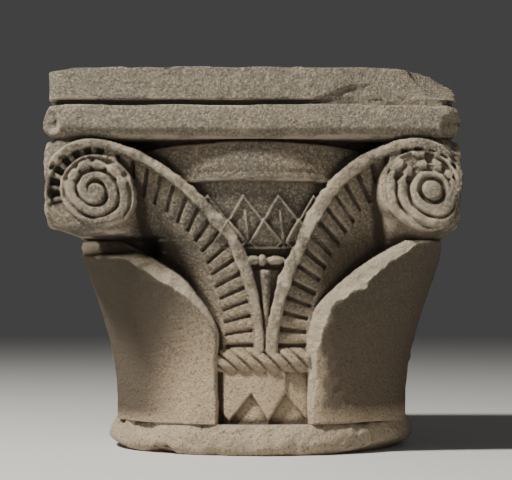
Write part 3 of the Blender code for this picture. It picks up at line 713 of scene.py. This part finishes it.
BACK_FACE = dict(SIDE_FACE, quarter=2, seed=3, bars=False, strands=False, spiral=0.8)
LEFT_FACE = dict(SIDE_FACE, quarter=3, seed=4)
FACES = [FRONT_FACE, RIGHT_FACE, BACK_FACE, LEFT_FACE]


def bell_depth(u, z, face):
    """The forms between the foot ring and the roll, laid on from the back to the front."""
    u = u + 0.0005 * face_lumps(u, z, 0.028, 71, face)
    z = z + 0.0005 * face_lumps(u, z, 0.028, 72, face)
    lean = face["lean"]
    depth = circle(bell_radius(z), u)
    depth = with_lip(depth, u, z, face)
    if face["bud"]:
        depth = with_bud(depth, u - lean, z, face)
    depth = with_leaf_tips(depth, u - 1.7 * lean, z, face)
    if face["bud"]:
        depth = with_channel(depth, u, z)
    ribbons = depth
    for side in (-1, 1):
        ribbons = with_ribbon(with_volute(ribbons, u, z, side, face), u, z, side, face)
        if face["broken"]:
            ribbons = ring_notches(ribbons, u, z, side, face)
    depth = np.maximum(with_leaves(depth, u, z, face), ribbons)
    return with_rope(depth, u - 0.3 * lean, z, face)


print("faces with seeds", [face["seed"] for face in FACES])

# %% [markdown]
# ## Recess under the left volute
# Below the left volute the stone is cut back behind the rim of the leaf, into a hollow that the
# finish also paints dark as shade. A boolean cut would leave a hard outline, so the hollow is one
# more depth with a soft mask. It is laid on last, and then the ring and the abacus close the face
# at its foot and its head.

# %% Recess, and the whole face
UNDERCUT_DEPTH = 0.0170


def undercut(u, z, face):
    """1 in the dark recess between the left volute and the leaf below it."""
    wander = 0.0020 * face_lumps(u, z, 0.015, 75, face)
    across = ramp(u, -0.170, -0.158) * ramp(u, -0.084, -0.100)
    return across * ramp(z + wander, 0.1715, 0.1765) * ramp(z, 0.1930, 0.1885)


def face_depth(u, z, face):
    """The depth of a whole face before any wear."""
    depth = bell_depth(u, z, face)
    if face["broken"]:
        depth = depth - UNDERCUT_DEPTH * undercut(u, z, face)
    depth = np.where(z <= NECKING_HEIGHT, necking_depth(u, z, face), depth)
    return np.where(z >= ROLL_BOTTOM, abacus_depth(u, z, face), depth)


print("recess %.0f mm deep" % (1000.0 * UNDERCUT_DEPTH))

# %% [markdown]
# ## Wear
# Weather takes the proud edges first. Blurring the depth map shows how far each point stands out
# of its surroundings: the proud ones are worn back, unevenly, and later turn pale; the hollow
# ones are later darkened, partly as dust and partly as painted shade. Broken places, such as the
# rims of the leaves, show fresh stone. Nothing may stand out further than the abacus of the solid.

# %% Wear
EDGE_LOSS = 0.55
PITTING = 0.0006
OUTERMOST = 0.4998 * ABACUS_WIDTH


def softened(depth, times):
    """The depth map with each point blended into its four neighbours, several times over."""
    for _ in range(times):
        wide = np.pad(depth, 1, mode="reflect", reflect_type="odd")
        around = wide[:-2, 1:-1] + wide[2:, 1:-1] + wide[1:-1, :-2] + wide[1:-1, 2:]
        depth = 0.5 * depth + 0.125 * around
    return depth


def fresh_stone(u, z, face):
    """1 where the old skin of the stone is broken away."""
    inside, width = leaf_edge(u, z, face)
    leaf = ramp(inside, width, width - 0.0010) * ramp(inside, -0.0020, -0.0005)
    leaf = leaf * (z < LEAF_TIP_HEIGHT) * (z > NECKING_HEIGHT)
    # Above z 0.17 the left rims show no fresh stone, so the zone under the left volute stays dark
    # as painted shade.
    fresh = leaf * ramp(width, 0.0020, 0.0060) * np.where(u < 0.0, ramp(z, 0.176, 0.170), 1.0)
    for side in (-1, 1):
        out = side * (u - face["lean"] * ramp(z, VOLUTE_HEIGHT, LEAN_FULL))
        course, _, rise = ribbon_course(out, z, face[hand(side) + "_bow"])
        half, knocked = strip_wear(u, z, rise, side, face)
        strip = ramp(np.abs(course), half, half - 0.0008) * (z > ROPE_TOP) * (out < VOLUTE_OUT)
        fresh = np.maximum(fresh, strip * (0.35 + 0.65 * ramp(knocked, 0.0002, 0.0012)))
    return fresh * (z < ROLL_BOTTOM)


def worn_face(u, z, face):
    """Worn depth, and how proud, hollow (darkened later as dust and painted shade) and freshly
    broken each point is, from 0 to 1.
    """
    depth = face_depth(u, z, face)
    stands = depth - softened(depth, 10)
    # How hollow each point is: the finish darkens these places, as dust and as painted shade in the
    # recesses.
    dust_and_shade = np.clip(softened(depth, 90) - depth, 0.0, 0.0045) / 0.0045
    patchy = np.clip(0.6 + 0.9 * face_lumps(u, z, 0.014, 91, face), 0.1, 1.6)
    loss = EDGE_LOSS * np.clip(stands - 0.0002, 0.0, 0.0022) * patchy
    pits = ramp(face_lumps(u, z, 0.0050, 93, face), 0.45, 0.85)
    pits = pits * ramp(face_lumps(u, z, 0.040, 94, face), -0.3, 0.4)
    grain = 0.00030 * face_lumps(u, z, 0.0032, 97, face)
    grain = grain + 0.00035 * face_lumps(u, z, 0.0075, 98, face)
    bed = ramp(z, 0.0, 0.002) * ramp(z, HEIGHT, HEIGHT - 0.002)
    depth = depth - loss * bed - (PITTING * pits - grain) * bed
    proud = np.clip(stands / 0.0016, 0.0, 1.0)
    fresh = fresh_stone(u, z, face)
    if face["broken"]:
        # The recess under the left volute is made fully hollow and loses its pale fresh stone, so
        # it is painted dark: shade, with some staining.
        recess = undercut(u, z, face)
        dust_and_shade = np.maximum(dust_and_shade, recess)
        fresh = fresh * (1.0 - recess)
        right = np.hypot(u - VOLUTE_OUT - 0.0048, z - VOLUTE_HEIGHT)
        left = np.hypot(u + VOLUTE_OUT - 0.0028, z - VOLUTE_HEIGHT)
        disc = 0.66 * ramp(right, 0.036, 0.033) + 0.50 * ramp(left, 0.034, 0.031)
        fresh = np.maximum(fresh, disc * (0.8 + 0.5 * face_lumps(u, z, 0.012, 92, face)))
    return np.minimum(depth, OUTERMOST), proud, dust_and_shade, fresh


print("edges lose %.0f %% of what stands proud" % (100.0 * EDGE_LOSS))

# %% [markdown]
# ## The four faces as one skin
# Each face is a grid between two arrises, the corner lines where a face's depth equals its
# distance from the middle. Neighbours share their arris, so the grids close into one skin. The
# bell stands a little to the right of the abacus, as on the real one. The top is a set of
# shrinking rings, so that the broken corner can be cut by lowering it point by point.

# %% Grids and arrises
ROWS = 290
FRONT_COLUMNS = 310
OTHER_COLUMNS = 130
TOP_RINGS = 26


def row_heights():
    """Even rows, with a pair of rows at each sharp ledge."""
    rows = np.linspace(0.0, HEIGHT, ROWS)
    ledges = np.array([NECKING_HEIGHT, ROLL_BOTTOM, ROLL_TOP, SLAB_BOTTOM])
    pairs = np.concatenate([ledges - 0.0002, ledges + 0.0002])
    clear = np.abs(rows[:, None] - ledges[None, :]).min(axis=1) > 0.0006
    return np.sort(np.concatenate([rows[clear], pairs]))


def corner_reach(rows):
    """How far out each corner's arris stands, row by row, and how much is chipped off it."""
    scan = np.linspace(0.20 * ABACUS_WIDTH, 0.51 * ABACUS_WIDTH, 440)
    u, z = np.meshgrid(scan, rows)
    row = np.arange(len(rows))

    def reach(face, side):
        room = face_depth(side * u, z, face) - u
        last = (room > 0.0)[:, ::-1].argmax(axis=1)
        i = np.clip(len(scan) - 1 - last, 0, len(scan) - 2)
        here, after = room[row, i], room[row, i + 1]
        part = np.clip(here / np.maximum(here - after, 1e-9), 0.0, 1.0)
        return scan[i] + part * (scan[1] - scan[0])

    corners = []
    for k in range(4):
        place = np.stack([rows + 1.0, 0.0 * rows + 0.7 * k, 0.0 * rows], axis=-1)
        chip = 0.0013 + 0.0013 * lumps(place, 0.018, 99) + 0.0008 * lumps(place, 0.006, 99)
        chip = np.clip(chip, 0.0, None) * ramp(rows, LEAF_TIP_HEIGHT - 0.010, LEAF_TIP_HEIGHT)
        corner = np.minimum(reach(FACES[k], 1), reach(FACES[(k + 1) % 4], -1))
        corners.append((corner - chip, chip))
    return corners


def quarter_turned(points, turns):
    """The points turned about the column's axis, a quarter turn at a time."""
    x, y, z = points[..., 0], points[..., 1], points[..., 2]
    for _ in range(turns):
        x, y = -y, x
    return np.stack([x, y, z], axis=-1)


def leaned(points):
    """The bell set off to the right of the abacus; the outer faces of the volutes stay."""
    x, z = points[..., 0], points[..., 2]
    points[..., 0] = x + BODY_LEAN * ramp(z, LEAN_TOP, LEAN_FULL) * ramp(np.abs(x), 0.180, 0.155)
    return points


def skin_points():
    """Rings of points from the bed up, and the three numbers for the finish at each."""
    rows = row_heights()
    reach = corner_reach(rows)
    around, marks = [], []
    for k, face in enumerate(FACES):
        (left, left_chip), (right, right_chip) = reach[k - 1], reach[k]
        columns = FRONT_COLUMNS if k == 0 else OTHER_COLUMNS
        share = np.linspace(-1.0, 1.0, columns + 1)
        u = np.where(share < 0.0, share * left[:, None], share * right[:, None])
        z = np.repeat(rows[:, None], columns + 1, axis=1)
        depth, proud, dust_and_shade, fresh = worn_face(u, z, face)
        end = np.where(u < 0.0, left[:, None], right[:, None])
        chip = np.where(u < 0.0, left_chip[:, None], right_chip[:, None])
        step = np.where(u < 0.0, depth[:, :1], depth[:, -1:]) - end - chip
        wide = 0.0030 + 0.0150 * ramp(z, LEAF_TIP_HEIGHT, LEAF_TIP_HEIGHT - 0.010)
        wide = wide * (z > NECKING_HEIGHT) + 0.0020
        depth = depth - chip * ramp(np.abs(u), end - 0.0050, end)
        depth = depth - np.maximum(step, 0.0) * ramp(np.abs(u), end - wide, end)
        depth[:, 0] = left
        depth[:, -1] = right
        points = np.stack([u, -depth, z], axis=-1)
        around.append(quarter_turned(points, k)[:, :-1])
        marks.append(np.stack([proud, dust_and_shade, fresh], axis=-1)[:, :-1])
    return leaned(np.concatenate(around, axis=1)), np.concatenate(marks, axis=1)


rings, marks = skin_points()
print("rings: %d of %d points" % rings.shape[:2])

# %% [markdown]
# ## The broken corner and the skin
# The right front corner of the slab is struck off. The broken bed starts low at the front and
# rises towards the back; it steepens to the left, where the break ends. All points above it are
# brought down to it. The rest of the top is nearly level, with knocked rims.

# %% Height of the top


def top_height(x, y):
    """Height of the top of the stone: the level bed with knocked rims, or the broken bed."""
    place = np.stack([x + 1.0, y + 1.0, 0.0 * x], axis=-1)
    rim = 0.5 * SLAB_WIDTH - np.maximum(np.abs(x), np.abs(y))
    knocks = 0.0012 + 0.0016 * lumps(place, 0.022, 84) + 0.0010 * lumps(place, 0.008, 85)
    level = HEIGHT - np.clip(knocks, 0.0, None) * ramp(rim, 0.007, 0.0)
    level = level - 0.0004 * ramp(lumps(place, 0.03, 86), 0.0, 0.8)
    corner = ramp(x, -0.148, -0.176) * ramp(y, -0.120, -0.150)
    level = level - 0.0042 * corner

    slope, front = break_lines(x)
    wave = 0.0014 * lumps(place, 0.034, 81) + 0.0007 * lumps(place, 0.012, 82)
    wave = wave + 0.0004 * lumps(place, 0.005, 83)
    broken = SLAB_BOTTOM + 0.0015 + slope * (y - front) + wave
    return np.where(x > BREAK_START, np.minimum(level, broken), level)


middle, corner = top_height(*np.array([[0.0, 0.17], [0.0, -0.17]]))
print("top at z %.3f m, at the broken corner %.3f m" % (middle, corner))

# %% [markdown]
# ## The skin as one mesh
# The rings become rows of four-sided faces. Points that fall together are joined and the normals
# turned outwards, so the stone is one closed mesh, which can be measured and cast. The three
# numbers for the finish are kept at its points.

# %% Skin
MARKS = ("proud", "dust_and_shade", "fresh")


def skin_mesh(rings, marks):
    """The closed mesh from the rings, with a point in the middle of the bed and of the top."""
    top = rings[-1]
    shares = 1.0 - np.linspace(0.0, 1.0, TOP_RINGS + 1)[1:-1] ** 1.2
    lid = np.stack([top * [s, s, 1.0] for s in shares])
    points = np.concatenate([rings, lid])
    bare = np.zeros(lid.shape)
    tall, count = points.shape[:2]
    corners = points.reshape(-1, 3)
    corners = np.concatenate([corners, [[BODY_LEAN, 0.0, 0.0], [0.0, 0.0, HEIGHT]]])
    upper = corners[:, 2] > SLAB_BOTTOM + 0.0008
    x, y, z = corners[upper].T
    corners[upper, 2] = np.minimum(z, top_height(x, y))
    index = np.arange(tall * count).reshape(tall, count)
    right = np.roll(index, -1, axis=1)
    walls = np.stack([index[:-1], right[:-1], right[1:], index[1:]], axis=-1).reshape(-1, 4)
    foot = np.stack([right[0], index[0], np.full(count, tall * count)], axis=-1)
    peak = np.stack([index[-1], right[-1], np.full(count, tall * count + 1)], axis=-1)
    mesh = bpy.data.meshes.new("carved_capital")
    mesh.from_pydata(corners.tolist(), [], walls.tolist() + foot.tolist() + peak.tolist())
    values = np.concatenate([marks, bare]).reshape(-1, 3)
    values = np.concatenate([values, np.zeros((2, 3))])
    for k, name in enumerate(MARKS):
        layer = mesh.attributes.new(name, "FLOAT", "POINT")
        layer.data.foreach_set("value", values[:, k].astype(np.float32))
    skin = bmesh.new()
    skin.from_mesh(mesh)
    bmesh.ops.remove_doubles(skin, verts=skin.verts, dist=0.00003)
    bmesh.ops.recalc_face_normals(skin, faces=skin.faces)
    loose = [edge for edge in skin.edges if not edge.is_manifold]
    skin.to_mesh(mesh)
    skin.free()
    print("skin: %d faces, %d open edges" % (len(mesh.polygons), len(loose)))
    return mesh


capital = bpy.data.objects.new("carved_capital", skin_mesh(rings, marks))
bpy.context.scene.collection.objects.link(capital)

# %% [markdown]
# ## Fewer faces
# Decimate keeps faces where the form needs them and merges them on plain stretches. The front,
# which is seen from closest, starts with the finer grid and so keeps more of them.

# %% Fewer faces
MOST_TRIANGLES = 193000


def applied(obj):
    """Swap the object's mesh for what its modifiers make of it."""
    deps = bpy.context.evaluated_depsgraph_get()
    mesh = bpy.data.meshes.new_from_object(obj.evaluated_get(deps))
    obj.modifiers.clear()
    old = obj.data
    obj.data = mesh
    bpy.data.meshes.remove(old)
    return mesh


triangles = sum(len(face.vertices) - 2 for face in capital.data.polygons)
thin = capital.modifiers.new("fewer", "DECIMATE")
thin.ratio = MOST_TRIANGLES / triangles
thin.use_collapse_triangulate = True
applied(capital)
capital.data.polygons.foreach_set("use_smooth", [True] * len(capital.data.polygons))
print("%d triangles, kept %d" % (triangles, len(capital.data.polygons)))
for name in MARKS:
    layer = capital.data.attributes[name]
    values = np.empty(len(layer.data), dtype=np.float32)
    layer.data.foreach_get("value", values)
    print("%s: mean %.3f, most %.2f" % (name, values.mean(), values.max()))

# %% [markdown]
# ## Tools for the finish
# The finish is a tree of nodes. A helper for each kind of node keeps the tree readable as text,
# where placing and wiring by hand would take a page for each colour.

# %% Tools for the finish
RANGE_SOCKETS = ("From Min", "From Max", "To Min", "To Max")


def node(tree, kind, **inputs):
    """A node with values on its sockets; a space in a socket's name is written as _."""
    made = tree.nodes.new(kind)
    for name, value in inputs.items():
        made.inputs[name.replace("_", " ")].default_value = value
    return made


def noise(tree, where, scale, detail, rough=0.5):
    """Smooth noise, as a value from 0 to 1."""
    made = node(tree, "ShaderNodeTexNoise", Scale=scale, Detail=detail, Roughness=rough)
    tree.links.new(where, made.inputs["Vector"])
    return made.outputs["Fac"]


def math_node(tree, operation, a, b):
    """Two numbers or outputs put together by one operation."""
    made = tree.nodes.new("ShaderNodeMath")
    made.operation = operation
    for socket, value in zip(made.inputs, (a, b)):
        if isinstance(value, (int, float)):
            socket.default_value = value
        else:
            tree.links.new(value, socket)
    return made.outputs[0]


def stepped(tree, value, low, high, to_low=0.0, to_high=1.0):
    """A soft step from to_low to to_high, while the value goes from low to high."""
    made = node(tree, "ShaderNodeMapRange")
    made.interpolation_type = "SMOOTHSTEP"
    tree.links.new(value, made.inputs["Value"])
    for name, number in zip(RANGE_SOCKETS, (low, high, to_low, to_high)):
        made.inputs[name].default_value = number
    return made.outputs["Result"]


def mixed(tree, share, a, b):
    """Colour a where the share is 0, colour b where it is 1."""
    made = tree.nodes.new("ShaderNodeMix")
    made.data_type = "RGBA"
    for socket, value in ((made.inputs[0], share), (made.inputs[6], a), (made.inputs[7], b)):
        if isinstance(value, (int, float, tuple)):
            socket.default_value = value
        else:
            tree.links.new(value, socket)
    return made.outputs[2]


def attribute(tree, name):
    """One of the numbers kept at the mesh's points."""
    made = tree.nodes.new("ShaderNodeAttribute")
    made.attribute_name = name
    return made.outputs["Fac"]


print("numbers at the points:", MARKS)

# %% [markdown]
# ## Sandstone, its changes of colour
# The stone changes slowly between grey and brown. The abacus is greyer, with a thin green growth;
# the foot is warmer and paler, and the leaf on the right has kept a dark skin. The outer part of
# the left leaf, under the left volute, gets the same dark colour as painted shade. A painted
# picture could show this, but noise and height need no seams and fit any size.

# %% Sandstone: changes of colour
GREY_BROWN = (0.250, 0.203, 0.143, 1.0)
COOL = (0.185, 0.165, 0.128, 1.0)
WARM = (0.640, 0.490, 0.325, 1.0)
GREENISH = (0.262, 0.236, 0.180, 1.0)
SKIN_AND_SHADE = (0.100, 0.080, 0.056, 1.0)
PALE = (0.600, 0.505, 0.375, 1.0)
DUST_AND_SHADE = (0.065, 0.050, 0.036, 1.0)

sandstone = bpy.data.materials.new("sandstone")
sandstone.use_nodes = True
tree = sandstone.node_tree
shader = tree.nodes["Principled BSDF"]
where = tree.nodes.new("ShaderNodeTexCoord").outputs["Object"]
split = tree.nodes.new("ShaderNodeSeparateXYZ")
tree.links.new(where, split.inputs[0])
across, height = split.outputs["X"], split.outputs["Z"]

slow = noise(tree, where, 9.0, 4.0, 0.55)
patch = noise(tree, where, 34.0, 5.0, 0.6)
grain = noise(tree, where, 420.0, 3.0, 0.6)

colour = mixed(tree, stepped(tree, slow, 0.38, 0.64), GREY_BROWN, COOL)
low = stepped(tree, height, 0.175, 0.035)
low = math_node(tree, "MULTIPLY", low, stepped(tree, slow, 0.25, 0.55, 0.5, 1.0))
colour = mixed(tree, low, colour, WARM)
high = stepped(tree, height, 0.262, 0.285, 0.0, 0.75)
colour = mixed(tree, high, colour, GREENISH)
under_volutes = stepped(tree, height, 0.205, 0.180)
right = math_node(tree, "MULTIPLY", stepped(tree, patch, 0.3, 0.7), 0.012)
right = math_node(tree, "ADD", across, right)
leaf = math_node(tree, "MULTIPLY", stepped(tree, right, 0.062, 0.072), under_volutes)
leaf = math_node(tree, "MULTIPLY", leaf, stepped(tree, height, 0.030, 0.045, 0.15, 0.78))
# Painted shade: the outer part of the left leaf is darkened below the volutes, with a slanting edge
# like the volute's shadow.
slant = math_node(tree, "ADD", across, math_node(tree, "MULTIPLY", height, -0.22))
left = math_node(tree, "MULTIPLY", stepped(tree, slant, -0.062, -0.112), under_volutes)
left = math_node(tree, "MULTIPLY", left, stepped(tree, height, 0.022, 0.040, 0.0, 0.90))
colour = mixed(tree, stepped(tree, height, 0.032, 0.022, 0.0, 0.50), colour, PALE)
print("changes of colour: %d nodes" % len(tree.nodes))

# %% [markdown]
# ## Sandstone, its specks, skin, painted shade and breaks
# Pale and dark grains lie over those colours. Dust and painted shade darken the hollows, edges
# turn pale, and fresh stone shows where the skin is broken: these follow the numbers at the
# points, because only the form knows where it is worn.

# %% Sandstone: specks, skin, painted shade and breaks
colour = mixed(tree, stepped(tree, patch, 0.50, 0.74, 0.0, 0.30), colour, WARM)
colour = mixed(tree, stepped(tree, grain, 0.50, 0.66, 0.0, 0.50), colour, PALE)
colour = mixed(tree, stepped(tree, grain, 0.47, 0.33, 0.0, 0.50), colour, DUST_AND_SHADE)
# Dark skin on the right leaf, and painted shade on the outer part of the left leaf.
colour = mixed(tree, math_node(tree, "MAXIMUM", leaf, left), colour, SKIN_AND_SHADE)
cleaner = stepped(tree, patch, 0.25, 0.55, 0.55, 1.0)
fresh = math_node(tree, "MULTIPLY", attribute(tree, "fresh"), cleaner)
colour = mixed(tree, stepped(tree, fresh, 0.1, 0.9, 0.0, 0.92), colour, PALE)
rubbed = stepped(tree, patch, 0.35, 0.6, 0.2, 1.0)
proud = math_node(tree, "MULTIPLY", attribute(tree, "proud"), rubbed)
colour = mixed(tree, stepped(tree, proud, 0.10, 0.9, 0.0, 0.75), colour, PALE)
# Dust and painted shade: the hollows, and the recess under the left volute, are darkened.
colour = mixed(tree, stepped(tree, attribute(tree, "dust_and_shade"), 0.08, 0.9, 0.0, 0.85), colour, DUST_AND_SHADE)
tree.links.new(colour, shader.inputs["Base Color"])
tree.links.new(stepped(tree, grain, 0.3, 0.7, 0.82, 0.97), shader.inputs["Roughness"])
print("with specks and breaks: %d nodes" % len(tree.nodes))

# %% [markdown]
# ## Sandstone, its tooth
# The surface is a granular, pitted sandstone, with grains too small to be faces of the mesh.
# Three sizes of noise drive a bump, so that light catches them.

# %% Sandstone: tooth
TOOTH = 0.0062
medium = noise(tree, where, 260.0, 5.0, 0.75)
coarse = noise(tree, where, 95.0, 4.0, 0.7)
tooth = math_node(tree, "ADD", medium, math_node(tree, "MULTIPLY", coarse, 0.9))
tooth = math_node(tree, "ADD", tooth, math_node(tree, "MULTIPLY", grain, 0.30))
bump = node(tree, "ShaderNodeBump", Strength=1.0, Distance=TOOTH)
tree.links.new(tooth, bump.inputs["Height"])
tree.links.new(bump.outputs["Normal"], shader.inputs["Normal"])
shader.inputs["Specular IOR Level"].default_value = 0.25

capital.data.materials.clear()
capital.data.materials.append(sandstone)
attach(capital, "root")
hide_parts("capital")
print("sandstone: %d nodes" % len(tree.nodes))

# %% [markdown]
# ## Floor, camera and light
# A plain pale floor, a camera at the photograph's angle, and one main light from high on the
# left, as in the photograph, with a weak fill so that the hollows keep some drawing. The key is
# small, which keeps the shadows of the carving crisp; a larger one would be softer.

# %% Floor, camera and light
CAMERA_PLACE = (0.003, -1.66, 0.1311)
CAMERA_TILT = 92.13
CAMERA_LENS = 123.0
LIGHT_AIM = (0.0, 0.0, 0.15)
KEY_PLACE = (-1.20, -1.12, 1.90)
KEY_POWER = 108.0
FILL_PLACE = (0.5, -2.2, 0.6)
FILL_POWER = 5.0

floor_mesh = bpy.data.meshes.new("floor")
floor_mesh.from_pydata([(-4, -4, 0), (4, -4, 0), (4, 6, 0), (-4, 6, 0)], [], [(0, 1, 2, 3)])
floor = bpy.data.objects.new("floor", floor_mesh)
bpy.context.scene.collection.objects.link(floor)
paint = bpy.data.materials.new("pale_floor")
paint.use_nodes = True
floor_shader = paint.node_tree.nodes["Principled BSDF"]
floor_shader.inputs["Base Color"].default_value = (0.62, 0.61, 0.59, 1.0)
floor_shader.inputs["Roughness"].default_value = 0.85
floor_mesh.materials.append(paint)

camera_data = bpy.data.cameras.new("camera")
camera_data.sensor_width = 36.0
camera_data.lens = CAMERA_LENS
camera = bpy.data.objects.new("camera", camera_data)
bpy.context.scene.collection.objects.link(camera)
camera.location = CAMERA_PLACE
camera.rotation_euler = (math.radians(CAMERA_TILT), 0.0, 0.0)
bpy.context.scene.camera = camera


def soft_light(name, place, size, power, tint=(1.0, 1.0, 1.0)):
    """A square light of this size, turned to the middle of the stone."""
    data = bpy.data.lights.new(name, "AREA")
    data.size = size
    data.energy = power
    data.color = tint
    light = bpy.data.objects.new(name, data)
    bpy.context.scene.collection.objects.link(light)
    light.location = place
    light.rotation_euler = (Vector(LIGHT_AIM) - Vector(place)).to_track_quat("-Z", "Y").to_euler()


soft_light("key", KEY_PLACE, 0.24, KEY_POWER, (1.0, 0.970, 0.925))
soft_light("fill", FILL_PLACE, 1.0, FILL_POWER)
world = bpy.data.worlds.new("studio")
bpy.context.scene.world = world
world.use_nodes = True
air = world.node_tree.nodes["Background"]
air.inputs["Color"].default_value = (0.55, 0.55, 0.56, 1.0)
air.inputs["Strength"].default_value = 0.11
print("camera %.2f m in front, lens %.0f mm" % (-CAMERA_PLACE[1], CAMERA_LENS))
